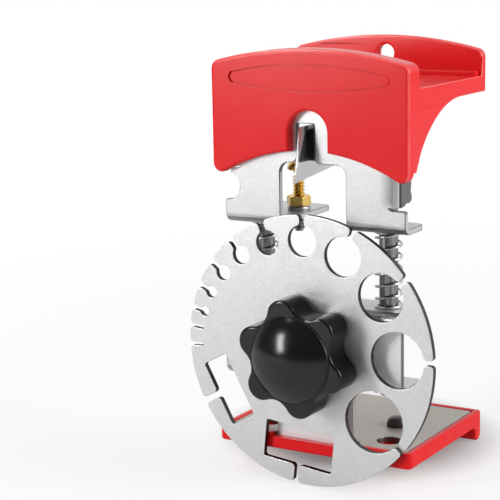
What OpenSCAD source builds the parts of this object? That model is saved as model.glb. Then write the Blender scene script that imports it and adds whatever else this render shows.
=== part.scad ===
// Hand-held cable stripping machine: a sprung blade carriage over a turning disc of cable holes.
// Heights are measured from the axis of the disc and depths from its front face.

/* [Disc] */
// Outer diameter of the selector disc
disc_d = 88; // [84:0.5:92]
// Thickness of the selector disc
disc_t = 2; // [1.5:0.1:3]
// Diameters of the cable holes, largest first
hole_d = [20, 18, 15.4, 12.8, 10.2, 8, 6.2, 5.2, 4, 3.2]; // each 3 to 20
// Metal left between the large cable holes, down to the working one
hole_web = 3.25; // [2.5:0.05:4]
// Metal left between the small cable holes
small_web = 3.7; // [2.5:0.1:4.5]
// Metal left beside the plain slits
wire_web = 4.8; // [3:0.1:6]
// Metal left between a cable hole and the rim
rim_web = 3.2; // [2.6:0.1:4]
// Width of the slits that open the large cable holes and the large window to the rim
slit_w = 1.5; // [1.4:0.1:2.4]
// Width of the slits of the small cable holes and the small window
small_slit_w = 2; // [1.4:0.1:2.4]
// Rounding of the lips beside a slit
lip_r = 1.2; // [0.6:0.1:1.25]
// Depth of the plain slits for bare wire
wire_slit_l = 4.6; // [3:0.1:6]
// Width of the plain slits for bare wire
wire_slit_w = 1.2; // [0.8:0.1:2]
// Long and short side of the small flat-cable window
small_window = [22, 9.4]; // each 5 to 24
// Long and short side of the large flat-cable window
large_window = [24.8, 12.6]; // each 5 to 26
// Metal left between a window and the rim
window_web = 6; // [5:0.1:7]
// Metal left between a window and its neighbours
window_gap = 8.8; // [4:0.1:10]
// Rounded inner corners of the windows
window_r = 0.8; // [0.3:0.1:1.5]

/* [Axle and knob] */
// Thread diameter of the axle bolt
bolt_d = 6; // [5:0.5:7]
// Length of the spacer that holds the disc off the bracket
spacer_l = 3; // [2.6:0.1:5]
// Outer diameter of the spacer and of the knob's washer
spacer_d = 16; // [12:0.5:20]
// Thickness of the washer under the knob
washer_t = 0.8; // [0.5:0.1:1.5]
// Width across the flats of the axle nut
axle_nut_af = 10; // [9:0.5:12]
// Thickness of the axle nut
axle_nut_t = 5; // [4:0.1:7]
// Length of bolt that stands out behind the axle nut
bolt_over = 3; // [1:0.1:6]
// Radius over the lobes of the star knob
knob_r = 19; // [17:0.5:21]
// Radius of one lobe
lobe_r = 5; // [4.5:0.1:5.5]
// Radius in the valleys between the lobes
valley_r = 14.6; // [13.5:0.1:15]
// Height of the lobed part of the knob
lobe_h = 10.4; // [9:0.1:14]
// Radius of the dome in the middle of the knob
dome_r = 14; // [11:0.1:14.4]
// Height of the dome above the lobes
dome_h = 5.4; // [3:0.1:7]

/* [Brackets] */
// Thickness of the bracket steel
sheet_t = 2; // [1.5:0.1:2.4]
// Inside radius of the bends
bend_r = 1.2; // [0.6:0.1:2]
// Free corner rounding of the lower bracket's shelf and tabs
sheet_corner = 2; // [0.5:0.1:4]
// How far the lower bracket's crossbar stays inside the feet's sides
cross_inset = 1.4; // [0.5:0.1:4]
// Half width of the lower bracket's stem
stem_w = 14; // [10:0.5:16]
// Height of the shelf's top above the disc axis
shelf_z = 14.2; // [12:0.1:16]
// Height of the tabs' top below the disc axis
tab_z = 10; // [9:0.1:14]
// Depth of the shelf on the right and on the left, from the bracket's front
shelf_l = [16, 32]; // each 14 to 36
// Depth of the tabs on the right and on the left, from the bracket's front
tab_l = [16, 25]; // each 14 to 36
// How far the upper bracket's feet stay inside the handle's sides
foot_inset = 2.8; // [2.7:0.1:4]
// How far the side flanges stay inside the feet's sides
wing_inset = 2.2; // [1:0.1:4]
// Half width between the two feet
gate_w = 11.8; // [10:0.1:13]
// Height of the gate between the feet
gate_h = 20.6; // [18:0.1:23]
// Corner rounding of the gate
gate_r = 3; // [1:0.1:5]
// Depth of the feet on the right and on the left, from the bracket's front
foot_l = [13.8, 34]; // each 13 to 36
// Height of the feet below the side notch
foot_h = 7.6; // [6:0.1:9]
// Radius of the round side notch
notch_r = 4.4; // [3.5:0.1:5]
// Straight depth of the notch before its round end
notch_in = 1.1; // [0.5:0.1:2]
// Depth of the side flanges of the upper bracket, from the bracket's front
wing_l = 9; // [7:0.1:12]

/* [Carriage guides] */
// Diameter of the guide rods
rod_d = 6; // [5:0.1:6.6]
// Distance of the guide rods from the feet's sides
rod_inset = 9.9; // [9:0.1:11]
// Distance of the guide rods behind the bracket's front
rod_back = 8.5; // [8:0.1:9.5]
// Rod length above the feet
rod_over = 13; // [8:0.1:16]
// Rod length below the tabs
rod_under = 2.2; // [2:0.1:4]
// Free height between the shelf and the feet at rest
spring_l = 24.6; // [23:0.1:28]
// Wire diameter of the return springs
spring_wire = 0.8; // [0.6:0.1:1]
// Outer diameter of the return springs
spring_d = 9; // [8.8:0.1:10.4]
// Turns of each return spring
spring_turns = 6; // [4:1:7]
// Outer diameter of the retaining clips
clip_d = 10.4; // [9:0.1:12]
// Thickness of the retaining clips
clip_t = 0.9; // [0.6:0.1:1.5]
// Outer diameter of the collars on top of the feet
collar_d = 9; // [8:0.1:11]
// Height of the collars on top of the feet
collar_h = 2.4; // [1.5:0.1:4]
// Travel of the carriage from rest to fully pressed
travel = 16; // [12:0.5:16]

/* [Blade] */
// Thickness of the blade
blade_t = 1; // [0.6:0.1:1.2]
// Sideways place of the blade's middle plane
blade_x = -1.3; // [-1.6:0.1:-1]
// Height of the blade's tip above the feet's underside
blade_tip_h = 15.2; // [14:0.1:16]
// Height of the blade from its tip to its top
blade_h = 17.4; // [15:0.1:18]
// Reach of the blade's tip in front of the bracket
blade_reach = 8.4; // [7:0.1:9.4]
// Length of the blade behind the bracket's front
blade_l = 19; // [16:0.5:24]
// Lean of the blade's front edge from tip to top
blade_lean = 3.4; // [1:0.1:5]
// Rise of the cutting edge from the tip to the back end
edge_rise = 2.6; // [1:0.1:5]
// Thickness of the blade holder
holder_t = 2; // [1.5:0.1:3]
// Length of the blade holder behind the bracket
holder_l = 24; // [20:0.5:30]
// Free corner rounding of the blade holder
holder_r = 5; // [2:0.5:8]
// Distance of the blade screw behind the bracket
clamp_back = 7; // [6:0.1:9]
// Distance of the blade screw below the blade's top
clamp_drop = 5.5; // [5:0.1:6.5]
// Metal of the holder below the blade screw's middle
holder_under = 6; // [5:0.1:8]
// Thread diameter of the blade screw
blade_screw_d = 4; // [3:0.1:5]

/* [Depth stop] */
// Thread diameter of the depth screw
depth_d = 4; // [3:0.1:5]
// Distance of the depth screw from the inner side of its foot
depth_inset = 4.2; // [3.9:0.1:6]
// Distance of the depth screw behind the bracket's front
depth_back = 19.5; // [18:0.1:24]
// Head diameter of the depth screw
depth_head_d = 7.4; // [6:0.1:9]
// Head height of the depth screw
depth_head_h = 2.8; // [2:0.1:4]
// Screw length that stands out below the foot
depth_under = 4.8; // [4.4:0.1:6]
// Thread that shows between the lock nut and the head
depth_free = 8.4; // [6:0.1:10]
// Width across the flats of the lock nut
lock_af = 7; // [6.5:0.1:9]
// Thickness of the lock nut
lock_t = 3.4; // [2.5:0.1:5]
// Height of the tapped collar under the lock nut
tap_h = 1.6; // [1:0.1:3]
// Outer diameter of the tapped collar
tap_d = 7.6; // [6.4:0.1:9]

/* [Handle] */
// Half width of the handle
handle_w = 35; // [34.5:0.1:37]
// Depth of the handle from front to back
handle_l = 57.4; // [52:0.1:62]
// Thickness of the handle's front wall
front_wall = 3; // [2.5:0.1:3]
// Thickness of the handle's back wall
back_wall = 3.2; // [2.5:0.1:4]
// Thickness of the handle's side walls
side_wall = 2.6; // [2:0.1:2.6]
// Thickness of the palm rest
palm_t = 3; // [2.5:0.1:4]
// Height of the palm rest's top above the feet's underside
palm_h = 44.9; // [43:0.1:47]
// Height of the front wall's curved top above the palm rest, in the middle
brow_h = 11.6; // [9:0.1:14]
// Thickness of the front wall above the palm rest
brow_t = 7.6; // [4:0.1:9]
// Height of the back wall's curved top above the palm rest, in the middle
back_h = 12.7; // [10:0.1:14]
// Radius of the curved tops of both walls
crest_r = 140; // [100:1:180]
// Height of the front wall's curved foot above the feet's underside, in the middle
apron_h = 24.8; // [24.2:0.1:26]
// Half width of the arch in the front wall
arch_w = 6.7; // [6:0.1:8]
// Height of the arch above the curved foot
arch_h = 12.6; // [12:0.1:13]
// Corner rounding of the front wall
wall_corner = 3; // [1:0.1:4]
// Half length of the lens-shaped recess in the front wall
lens_w = 29; // [24:0.5:31]
// Rise of the recess's upper and lower edge from its ends
lens_rise = [4.1, 4.9]; // each 2 to 5.5
// Depth of the lens-shaped recess
lens_depth = 0.6; // [0.3:0.1:1]
// Distance of the recess above the arch
lens_gap = 5.6; // [4:0.1:7]
// Depth of the rim below the palm rest
skirt_h = 2.2; // [1:0.1:2.2]
// Radius of the side walls' concave lower edge
gusset_r = 37.4; // [34:0.1:40]
// Overlap of that curve with the front wall
gusset_inset = 2.4; // [1:0.1:4]
// Diameter of the hanging hole
hang_d = 5.8; // [4:0.1:7]
// Height of the hanging hole above the palm rest
hang_h = 6.7; // [5:0.1:7]
// Diameter of the stake posts that hold the upper bracket
stake_d = 4; // [3:0.1:5]
// Height of the stake posts' heads
stake_h = 0.6; // [0.4:0.1:1]
// Distance of the stake posts from the sides of the roof plate
stake_inset = 12; // [10:0.5:16]
// Distance between the two stake posts of a side, and of the last one from the back
stake_pitch = 10; // [8:0.5:14]

/* [Base] */
// How far the base stays inside the handle's sides
base_inset = 0; // [0:0.1:2]
// Depth of the base from front to back
base_l = 55.4; // [50:0.1:58]
// Thickness of the rim round the base plate
base_rim = 2.4; // [2:0.1:2.4]
// Thickness of the floor under the base plate
base_floor = 2.9; // [2:0.1:4]
// Distance of the base's underside below the disc axis
base_drop = 34.4; // [33:0.1:36]
// Height of the rim above the base plate
rim_over = 0.2; // [0.2:0.1:1.2]
// Depth of the lip under the back of the base
lip_h = 4.8; // [4:0.1:7]
// Thickness of the lip under the back of the base
lip_t = 5; // [3:0.1:7]
// Corner rounding of the base
base_corner = 2; // [1:0.1:4]

/* [Hidden] */
$fn = 96;

red = "#E3262B";
steel = "#B9BCBF";
dark_steel = "#7E8286";
brass = "#C9A23C";
black = "#1D1D1F";

// Small overlap used by cuts that run past a face
past = 1;
// Radial play of a part that turns or slides in a hole
run_fit = 0.05;
// Radial play of a part that is fixed in a hole
tight_fit = 0.02;
// Gap between parts that lie side by side
seat = 0.1;

// Half widths, from the middle plane
foot_w = handle_w - foot_inset;
wing_x = foot_w - wing_inset;
cross_w = foot_w - cross_inset;
rod_x = foot_w - rod_inset;
depth_x = -gate_w - depth_inset;
base_w = handle_w - base_inset;

// Depths, from the disc's front face to the back
plate_y = disc_t + spacer_l;
plate_back = plate_y + sheet_t;
rod_y = plate_y + rod_back;
depth_y = plate_y + depth_back;
handle_y = plate_y - front_wall;
handle_back = handle_y + handle_l;
base_y = plate_y - seat - base_rim;
base_back = base_y + base_l;
knob_front = washer_t + lobe_h + dome_h;

// Heights, from the disc's axis
foot_z = shelf_z + spring_l;
foot_top = foot_z + sheet_t;
palm_top = foot_z + palm_h;
palm_under = palm_top - palm_t;
roof_z = palm_under - sheet_t;
skirt_z = palm_under - skirt_h;
apron_r = foot_z + apron_h;
brow_top = palm_top + brow_h;
back_top = palm_top + back_h;
tip_z = foot_z + blade_tip_h;
blade_top = tip_z + blade_h;
base_under = -base_drop;
plate_z = base_under + base_floor;
plate_top = plate_z + sheet_t;
rim_top = plate_top + rim_over;
tab_under = -tab_z - sheet_t;
rod_top = foot_top + rod_over;
rod_low = tab_under - rod_under;
depth_tip = foot_z - depth_under;

// Frame of the finished part: on its lowest point, in the middle of its length and width
mid_y = (handle_back - knob_front) / 2;
floor_z = max(disc_d / 2, base_drop + lip_h);

module place() translate([0, -mid_y, floor_z]) children();

// Turns a flat outline drawn in X and Z into a slab from depth y to y + t
module slab(y, t) translate([0, y + t, 0]) rotate([90, 0, 0]) linear_extrude(t) children();

// Turns a flat outline drawn in Y and Z into a slab from x to x + t
module side_slab(x, t) translate([x, 0, 0]) rotate([90, 0, 90]) linear_extrude(t) children();

// Round bar along Y from depth y0 to y1
module bar_y(d, y0, y1) translate([0, y1, 0]) rotate([90, 0, 0]) cylinder(d = d, h = y1 - y0);

// Round bar along X from x0 to x1
module bar_x(d, x0, x1) translate([x0, 0, 0]) rotate([0, 90, 0]) cylinder(d = d, h = x1 - x0);

// Rectangle with rounded corners, between two corner points
module round_box(a, b, r) {
    translate([a[0] + r, a[1]]) square([b[0] - a[0] - 2 * r, b[1] - a[1]]);
    translate([a[0], a[1] + r]) square([b[0] - a[0], b[1] - a[1] - 2 * r]);
    for (x = [a[0] + r, b[0] - r], y = [a[1] + r, b[1] - r]) translate([x, y]) circle(r);
}

// Bent corner of sheet metal in Y and Z, with its outer corner at the origin
module bend_corner() {
    outer = bend_r + sheet_t;
    intersection() {
        square(outer);
        translate([outer, outer]) difference() {
            circle(outer);
            circle(bend_r);
        }
    }
}

// Selector disc

hole_count = len(hole_d);
disc_r = disc_d / 2;
work_hole = 4;
// How far a lip's rounding reaches past the edges that it joins, so that they cross cleanly
lip_bite = 0.03;
function hole_at(i) = disc_r - rim_web - hole_d[i] / 2;
function web_after(i) = i < work_hole ? hole_web : small_web;
function step_angle(i) =
    2 * asin((hole_d[i] / 2 + hole_d[i + 1] / 2 + web_after(i)) / (hole_at(i) + hole_at(i + 1)));
function angle_from_first(i) = i <= 0 ? 0 : angle_from_first(i - 1) + step_angle(i - 1);
// Angle of the working hole's slit, so that the blade runs down its middle
work_angle = 90 + asin(-blade_x / (disc_r - rim_web / 2));
function hole_angle(i) = work_angle + angle_from_first(i) - angle_from_first(work_hole);
last_angle = hole_angle(hole_count - 1);
wire_step = 2 * asin((wire_slit_w + wire_web) / (2 * disc_r - wire_slit_l));
wire_angles = [last_angle + wire_step, last_angle + 2 * wire_step];
// Angle taken by a length along a circle of radius r
function arc_angle(len, r) = len / r * 180 / PI;
function window_at(size) = disc_r - window_web - size[1] / 2;
large_window_angle = 360 + hole_angle(0)
    - arc_angle(hole_d[0] / 2 + window_gap + large_window[0] / 2, window_at(large_window));
small_window_angle = large_window_angle
    - arc_angle(large_window[0] / 2 + window_gap + small_window[0] / 2, window_at(small_window));
// Angle where the row of holes and slits has to end before the small window
row_end = small_window_angle - arc_angle(small_window[0] / 2 + rim_web, window_at(small_window));
function hole_fits(i) = hole_angle(i) + arc_angle(hole_d[i] / 2, hole_at(i)) < row_end;

// Opening of a slit of width w at the rim, with both lips rounded; the disc's centre is at the origin
module slit_mouth(inner, w) {
    lip_x = w / 2 + lip_r - lip_bite;
    lip_y = sqrt(pow(disc_r - lip_r + lip_bite, 2) - pow(lip_x, 2));
    rim_point = [lip_x, lip_y] * (disc_r + past) / (disc_r - lip_r);
    translate([-w / 2, inner]) square([w, disc_r + past - inner]);
    for (s = [0, 1]) mirror([s, 0]) difference() {
        polygon([[0, lip_y], [lip_x, lip_y], rim_point, [0, disc_r + past]]);
        translate([lip_x, lip_y]) circle(lip_r);
    }
}

// Cable hole of diameter d with its slit; the inner ends of the lips are rounded too
module cable_hole(d, centre) {
    w = min(d < hole_d[work_hole] ? small_slit_w : slit_w, d / 2.2);
    lip_x = w / 2 + lip_r - lip_bite;
    lip_y = sqrt(pow(d / 2 + lip_r - lip_bite, 2) - pow(lip_x, 2));
    translate([0, centre]) {
        circle(d = d);
        for (s = [0, 1]) mirror([s, 0]) difference() {
            polygon([[0, 0], [lip_x, lip_y], [0, lip_y]]);
            translate([lip_x, lip_y]) circle(lip_r);
        }
    }
    slit_mouth(centre, w);
}

// Flat-cable window with its slit
module cable_window(size, w) {
    top = disc_r - window_web;
    lip_x = w / 2 + lip_r - lip_bite;
    round_box([-size[0] / 2, top - size[1]], [size[0] / 2, top], window_r);
    for (s = [0, 1]) mirror([s, 0]) difference() {
        translate([0, top - past]) square([lip_x, lip_r + past]);
        translate([lip_x, top + lip_r - lip_bite]) circle(lip_r);
    }
    slit_mouth(top - past, w);
}

// Plain slit for bare wire
module wire_slit() {
    translate([0, disc_r - wire_slit_l]) circle(d = wire_slit_w);
    slit_mouth(disc_r - wire_slit_l, wire_slit_w);
}

module selector_disc() place() color(steel) difference() {
    slab(0, disc_t) difference() {
        circle(disc_r, $fn = 180);
        for (i = [0 : hole_count - 1]) if (hole_fits(i))
            rotate(hole_angle(i) - 90) cable_hole(hole_d[i], hole_at(i));
        for (a = wire_angles) if (a < row_end) rotate(a - 90) wire_slit();
        rotate(small_window_angle - 90) cable_window(small_window, small_slit_w);
        rotate(large_window_angle - 90) cable_window(large_window, slit_w);
    }
    bar_y(bolt_d + 2 * run_fit, -past, disc_t + past);
}

// Axle, washer and knob

module disc_spacer() place() color(dark_steel) difference() {
    bar_y(spacer_d, disc_t, plate_y);
    bar_y(bolt_d + 2 * run_fit, disc_t - past, plate_y + past);
}

module axle_nut() place() color(dark_steel) difference() {
    translate([0, plate_back + axle_nut_t, 0]) rotate([90, 30, 0])
        cylinder(d = axle_nut_af / cos(30), h = axle_nut_t, $fn = 6);
    bar_y(bolt_d + 2 * run_fit, plate_back - past, plate_back + axle_nut_t + past);
}

module knob_washer() place() color(dark_steel) difference() {
    bar_y(spacer_d, -washer_t, 0);
    bar_y(bolt_d + 2 * run_fit, -washer_t - past, past);
}

knob_socket = lobe_h - 2;
module knob_bolt() place() color(dark_steel)
    bar_y(bolt_d, -washer_t - knob_socket, plate_back + axle_nut_t + bolt_over);

lobe_count = 6;
lobe_angle = 42;
lobe_at = knob_r - lobe_r;
half_pitch = 180 / lobe_count;
// Circle that rolls between two lobes and touches both
valley_fill = (lobe_at * lobe_at + valley_r * valley_r - lobe_r * lobe_r
        - 2 * lobe_at * valley_r * cos(half_pitch))
    / (2 * (lobe_r - valley_r + lobe_at * cos(half_pitch)));
valley_at = valley_r + valley_fill;
valley_gap = valley_at * [cos(half_pitch), sin(half_pitch)] - [lobe_at, 0];
lobe_touch = [lobe_at, 0] + valley_gap * lobe_r / norm(valley_gap);

module star_outline() difference() {
    union() {
        circle(norm(lobe_touch));
        for (i = [0 : lobe_count - 1]) rotate(lobe_angle + i * 2 * half_pitch)
            translate([lobe_at, 0]) circle(lobe_r);
    }
    for (i = [0 : lobe_count - 1]) rotate(lobe_angle + (2 * i + 1) * half_pitch) translate([valley_at, 0])
        circle(valley_fill + lip_bite);
}

// Crown of the knob: a dome of rise h over a circle of radius r
module dome(r, h) {
    ball = (r * r + h * h) / (2 * h);
    rotate_extrude() intersection() {
        translate([0, h - ball]) circle(ball, $fn = 180);
        square([r, h]);
    }
}

module star_knob() place() color(black) difference() {
    union() {
        slab(-washer_t - lobe_h, lobe_h) star_outline();
        translate([0, -washer_t - lobe_h, 0]) rotate([90, 0, 0]) dome(dome_r, dome_h);
    }
    bar_y(bolt_d + 2 * tight_fit, -washer_t - knob_socket, past);
}

// Lower bracket: stem and crossbar, shelf, tabs and the plate in the base

plate_l = base_back - base_rim - seat - plate_y;
plate_w = base_w - base_rim - seat;
outer_r = bend_r + sheet_t;
rod_hole = rod_d + 2 * run_fit;
rod_room = 1.2;

module at_rods() for (s = [-1, 1]) translate([s * rod_x, rod_y]) children();

// Sheet that runs back from the front plate at height z (its upper face), from x0 to x1
module back_sheet(z, x0, x1, len, corner)
    translate([0, 0, z - sheet_t]) linear_extrude(sheet_t) difference() {
        round_box([x0, plate_y + outer_r - corner], [x1, plate_y + len], corner);
        translate([x0 - past, plate_y - past]) square([x1 - x0 + 2 * past, outer_r + past]);
    }

// Bend between the front plate and a sheet behind it, from x0 to x1; up is 1 if the plate stands above
module bend_bar(z, x0, x1, up) side_slab(x0, x1 - x0)
    translate([plate_y, z]) mirror([0, up > 0 ? 0 : 1]) bend_corner();

module lower_bracket() place() color(steel) difference() {
    union() {
        slab(plate_y, sheet_t) {
            translate([-cross_w, tab_under + outer_r])
                square([2 * cross_w, shelf_z - outer_r - tab_under - outer_r]);
            translate([-stem_w, plate_z + outer_r])
                square([2 * stem_w, shelf_z - outer_r - plate_z - outer_r]);
        }
        bend_bar(shelf_z, -cross_w, cross_w, -1);
        back_sheet(shelf_z, 0, cross_w, shelf_l[0], sheet_corner);
        back_sheet(shelf_z, -cross_w, 0, shelf_l[1], sheet_corner);
        for (s = [[stem_w + past, cross_w, tab_l[0]], [-cross_w, -stem_w - past, tab_l[1]]]) {
            bend_bar(tab_under, s[0], s[1], 1);
            back_sheet(-tab_z, s[0], s[1], s[2], sheet_corner);
        }
        bend_bar(plate_z, -stem_w, stem_w, 1);
        translate([-plate_w, plate_y + outer_r, plate_z]) cube([2 * plate_w, plate_l - outer_r, sheet_t]);
    }
    bar_y(bolt_d + 2 * run_fit, plate_y - past, plate_back + past);
    translate([0, 0, tab_under - past]) linear_extrude(shelf_z - tab_under + 2 * past)
        at_rods() circle(d = rod_hole);
    translate([0, 0, plate_z - past]) linear_extrude(sheet_t + 2 * past) {
        at_rods() circle(d = rod_d + rod_room);
    }
}

// Base

module base_grip() place() color(red) difference() {
    union() {
        translate([0, 0, base_under]) linear_extrude(rim_top - base_under)
            base_outline();
        intersection() {
            side_slab(-base_w, 2 * base_w) lip_outline();
            translate([0, 0, base_under - lip_h - past]) linear_extrude(lip_h + 2 * past) base_outline();
        }
    }
    // Seat of the base plate
    translate([-plate_w - seat, plate_y - seat, plate_z])
        cube([2 * (plate_w + seat), plate_l + 2 * seat, sheet_t + rim_over + past]);
    // Low front rim before the stem
    translate([-stem_w - past, base_y - past, plate_z + sheet_t / 2])
        cube([2 * (stem_w + past), base_rim + 2 * past, sheet_t + rim_over]);
    // Room for the rod ends at full travel
    translate([0, 0, rod_low - travel - past / 2]) linear_extrude(base_drop)
        at_rods() circle(d = rod_d + rod_room);
}

// Base in X and Y
module base_outline() round_box([-base_w, base_y], [base_w, base_back], base_corner);

// Lip under the back of the base, in Y and Z
module lip_outline() {
    r = lip_t / 2.5;
    low = base_under - lip_h;
    translate([base_back - lip_t, low + r]) square([lip_t, lip_h - r + past]);
    translate([base_back - lip_t + r, low]) square([lip_t - 2 * r, r]);
    for (y = [base_back - lip_t + r, base_back - r]) translate([y, low + r]) circle(r);
}

// Handle

roof_l = handle_back - back_wall - seat - plate_y;
roof_w = handle_w - side_wall - seat;
stake_head = stake_d + 3;
module stake_spots() for (s = [-1, 1], k = [1, 2])
    translate([s * (roof_w - stake_inset), plate_y + roof_l - k * stake_pitch]) children();
arch_mid = apron_r + arch_h - arch_w;
lens_z = apron_r + arch_h + lens_gap + lens_rise[1];

// Centres of the corner roundings, which touch the curved foot
corner_x = handle_w - wall_corner;
foot_corner_z = sqrt(pow(apron_r + wall_corner, 2) - pow(corner_x, 2));

// Wall in X and Z with a curved top and rounded upper corners, between the heights low and top
module crest(low, top) {
    mid_z = top - crest_r;
    corner_z = mid_z + sqrt(pow(crest_r - wall_corner, 2) - pow(corner_x, 2));
    touch_x = corner_x * crest_r / (crest_r - wall_corner);
    translate([-handle_w, low]) square([2 * handle_w, corner_z - low]);
    for (s = [-1, 1]) translate([s * corner_x, corner_z]) circle(wall_corner);
    intersection() {
        translate([0, mid_z]) circle(crest_r, $fn = 360);
        translate([-touch_x, low]) square([2 * touch_x, top + past - low]);
    }
}

// Front wall in X and Z: its foot is an arc round the disc's axis, with an arch for the blade
module front_outline() {
    touch_x = corner_x * apron_r / (apron_r + wall_corner);
    difference() {
        union() {
            crest(foot_corner_z, brow_top);
            for (s = [-1, 1]) translate([s * corner_x, foot_corner_z]) circle(wall_corner);
            translate([-touch_x, 0]) square([2 * touch_x, foot_corner_z]);
        }
        circle(apron_r, $fn = 240);
        translate([-arch_w, 0]) square([2 * arch_w, arch_mid]);
        translate([0, arch_mid]) circle(arch_w);
    }
}

// Lens-shaped recess in X and Z
function lens_arc(rise) = (lens_w * lens_w + rise * rise) / (2 * rise);
module lens_outline() translate([0, lens_z]) intersection() {
    translate([0, lens_rise[0] - lens_arc(lens_rise[0])]) circle(lens_arc(lens_rise[0]), $fn = 240);
    translate([0, lens_arc(lens_rise[1]) - lens_rise[1]]) circle(lens_arc(lens_rise[1]), $fn = 240);
}

// Side wall in Y and Z, with the concave lower edge
module gusset_outline() difference() {
    translate([plate_y, foot_corner_z]) square([handle_l - front_wall, palm_top - foot_corner_z]);
    translate([plate_y + gusset_r - gusset_inset, skirt_z - gusset_r]) circle(gusset_r, $fn = 180);
    translate([plate_y + gusset_r - gusset_inset, 0]) square([handle_l, skirt_z]);
}

module top_handle() place() color(red) {
    difference() {
        union() {
            slab(handle_y, front_wall) front_outline();
            translate([-handle_w, plate_y, palm_under]) cube([2 * handle_w, handle_l - front_wall, palm_t]);
            for (x = [-handle_w, handle_w - side_wall]) side_slab(x, side_wall) gusset_outline();
            slab(handle_y, brow_t) crest(palm_under, brow_top);
            slab(handle_back - back_wall, back_wall) crest(skirt_z, back_top);
        }
        slab(handle_y - past, lens_depth + past) lens_outline();
        translate([0, 0, hang_z]) bar_y(hang_d, handle_back - back_wall - past, handle_back + past);
    }
    translate([0, 0, roof_z]) stake_spots() {
        cylinder(d = stake_d, h = sheet_t);
        translate([0, 0, -stake_h]) cylinder(d = stake_head, h = stake_h);
    }
}
hang_z = palm_top + hang_h;

// Upper bracket

notch_z = foot_z + foot_h;
// Blade slot: room left and right of the blade, and above it
slot_room = [3.6, 1.8];
slot_over = 0.5;
slot_x = [blade_x - blade_t / 2 - slot_room[0], blade_x + blade_t / 2 + slot_room[1]];

module blade_bracket() place() color(steel) difference() {
    union() {
        slab(plate_y, sheet_t) bracket_outline();
        for (s = [[gate_w, foot_w, foot_l[0]], [-foot_w, -gate_w, foot_l[1]]]) {
            bend_bar(foot_z, s[0], s[1], 1);
            back_sheet(foot_top, s[0], s[1], s[2], 2.4);
        }
        bend_bar(palm_under, -roof_w, roof_w, -1);
        back_sheet(palm_under, -roof_w, roof_w, roof_l, 1);
        translate([depth_x, depth_y, foot_top]) cylinder(d = tap_d, h = tap_h);
        for (s = [1, -1]) mirror([s < 0 ? 1 : 0, 0, 0])
            wing(s > 0 ? notch_z + 1.2 : notch_z + 2 * notch_r + 2);
    }
    translate([0, 0, foot_z - past]) linear_extrude(sheet_t + 2 * past)
        at_rods() circle(d = rod_d + 2 * tight_fit);
    translate([depth_x, depth_y, foot_z - past])
        cylinder(d = depth_d + 2 * run_fit, h = sheet_t + tap_h + 2 * past);
    translate([0, 0, roof_z - past]) linear_extrude(sheet_t + 2 * past)
        stake_spots() circle(d = stake_d + 2 * tight_fit);
}

// Side flange that stiffens the upper bracket, from height z to the roof
module wing(z) translate([wing_x - sheet_t, plate_back, z]) cube([sheet_t, wing_l - sheet_t, roof_z - z]);

// Front of the upper bracket in X and Z, between its bends
module bracket_outline() difference() {
    union() {
        translate([-foot_w, foot_z + outer_r]) square([2 * foot_w, foot_h - outer_r]);
        translate([-wing_x, foot_z + outer_r]) square([2 * wing_x, palm_under - outer_r - foot_z - outer_r]);
    }
    translate([-gate_w, 0]) square([2 * gate_w, foot_z + gate_h - gate_r]);
    translate([-gate_w + gate_r, 0]) square([2 * (gate_w - gate_r), foot_z + gate_h]);
    for (s = [-1, 1]) translate([s * (gate_w - gate_r), foot_z + gate_h - gate_r]) circle(gate_r);
    translate([slot_x[0], 0]) square([slot_x[1] - slot_x[0], blade_top + slot_over]);
    translate([-foot_w + notch_in, notch_z + notch_r]) circle(notch_r);
    translate([-foot_w - past, notch_z]) square([past + notch_in, 2 * notch_r]);
}

// Blade and its holder

holder_x = blade_x + blade_t / 2;
clamp_y = plate_back + clamp_back;
clamp_z = blade_top - clamp_drop;

module blade() place() color(steel) side_slab(blade_x - blade_t / 2, blade_t) difference() {
    polygon([
        [plate_y - blade_reach, tip_z],
        [plate_y - blade_reach + blade_lean, blade_top],
        [plate_y + blade_l, blade_top],
        [plate_y + blade_l, tip_z + edge_rise]
    ]);
    translate([clamp_y, clamp_z]) circle(d = blade_screw_d + 2 * tight_fit);
}

// Side of the square that cuts the holder's corner
holder_cut = 1.2 * sqrt(2) * bend_r;
module blade_holder() place() color(steel) side_slab(holder_x, holder_t) difference() {
    holder_low = clamp_z - holder_under;
    union() {
        translate([plate_back, holder_low]) square([holder_l - holder_r, roof_z - holder_low]);
        translate([plate_back, holder_low + holder_r]) square([holder_l, roof_z - holder_low - holder_r]);
        translate([plate_back + holder_l - holder_r, holder_low + holder_r]) circle(holder_r);
    }
    // Cut corner that clears the bend between the front plate and the roof plate
    translate([plate_back, roof_z]) rotate(45) square(holder_cut, center = true);
    translate([clamp_y, clamp_z]) circle(d = blade_screw_d + 2 * tight_fit);
}

blade_washer_t = 0.8;
blade_nut_t = 3.2;
module at_clamp() translate([0, clamp_y, clamp_z]) children();

module blade_washer() place() color(dark_steel) at_clamp() difference() {
    bar_x(2 * blade_screw_d + 1, holder_x + holder_t, holder_x + holder_t + blade_washer_t);
    bar_x(blade_screw_d + 2 * tight_fit, holder_x, holder_x + holder_t + 2 * past);
}

module blade_nut() place() color(dark_steel) at_clamp() difference() {
    nut_x = holder_x + holder_t + blade_washer_t;
    translate([nut_x, 0, 0]) rotate([0, 90, 0]) cylinder(d = 2 * blade_screw_d, h = blade_nut_t, $fn = 6);
    bar_x(blade_screw_d + 2 * tight_fit, nut_x - past, nut_x + blade_nut_t + past);
}

module blade_screw() place() color(dark_steel) at_clamp() {
    head_x = blade_x - blade_t / 2;
    bar_x(blade_screw_d, head_x, holder_x + holder_t + blade_washer_t + blade_nut_t + 1.5);
    bar_x(2 * blade_screw_d, head_x - blade_screw_d / 2, head_x);
}

// Guide rods, collars, clips and springs

module guide_rod(side) place() color(steel) translate([side * rod_x, rod_y, rod_low])
    cylinder(d = rod_d, h = rod_top - rod_low);

module guide_rod_left() guide_rod(-1);

module guide_rod_right() guide_rod(1);

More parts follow.
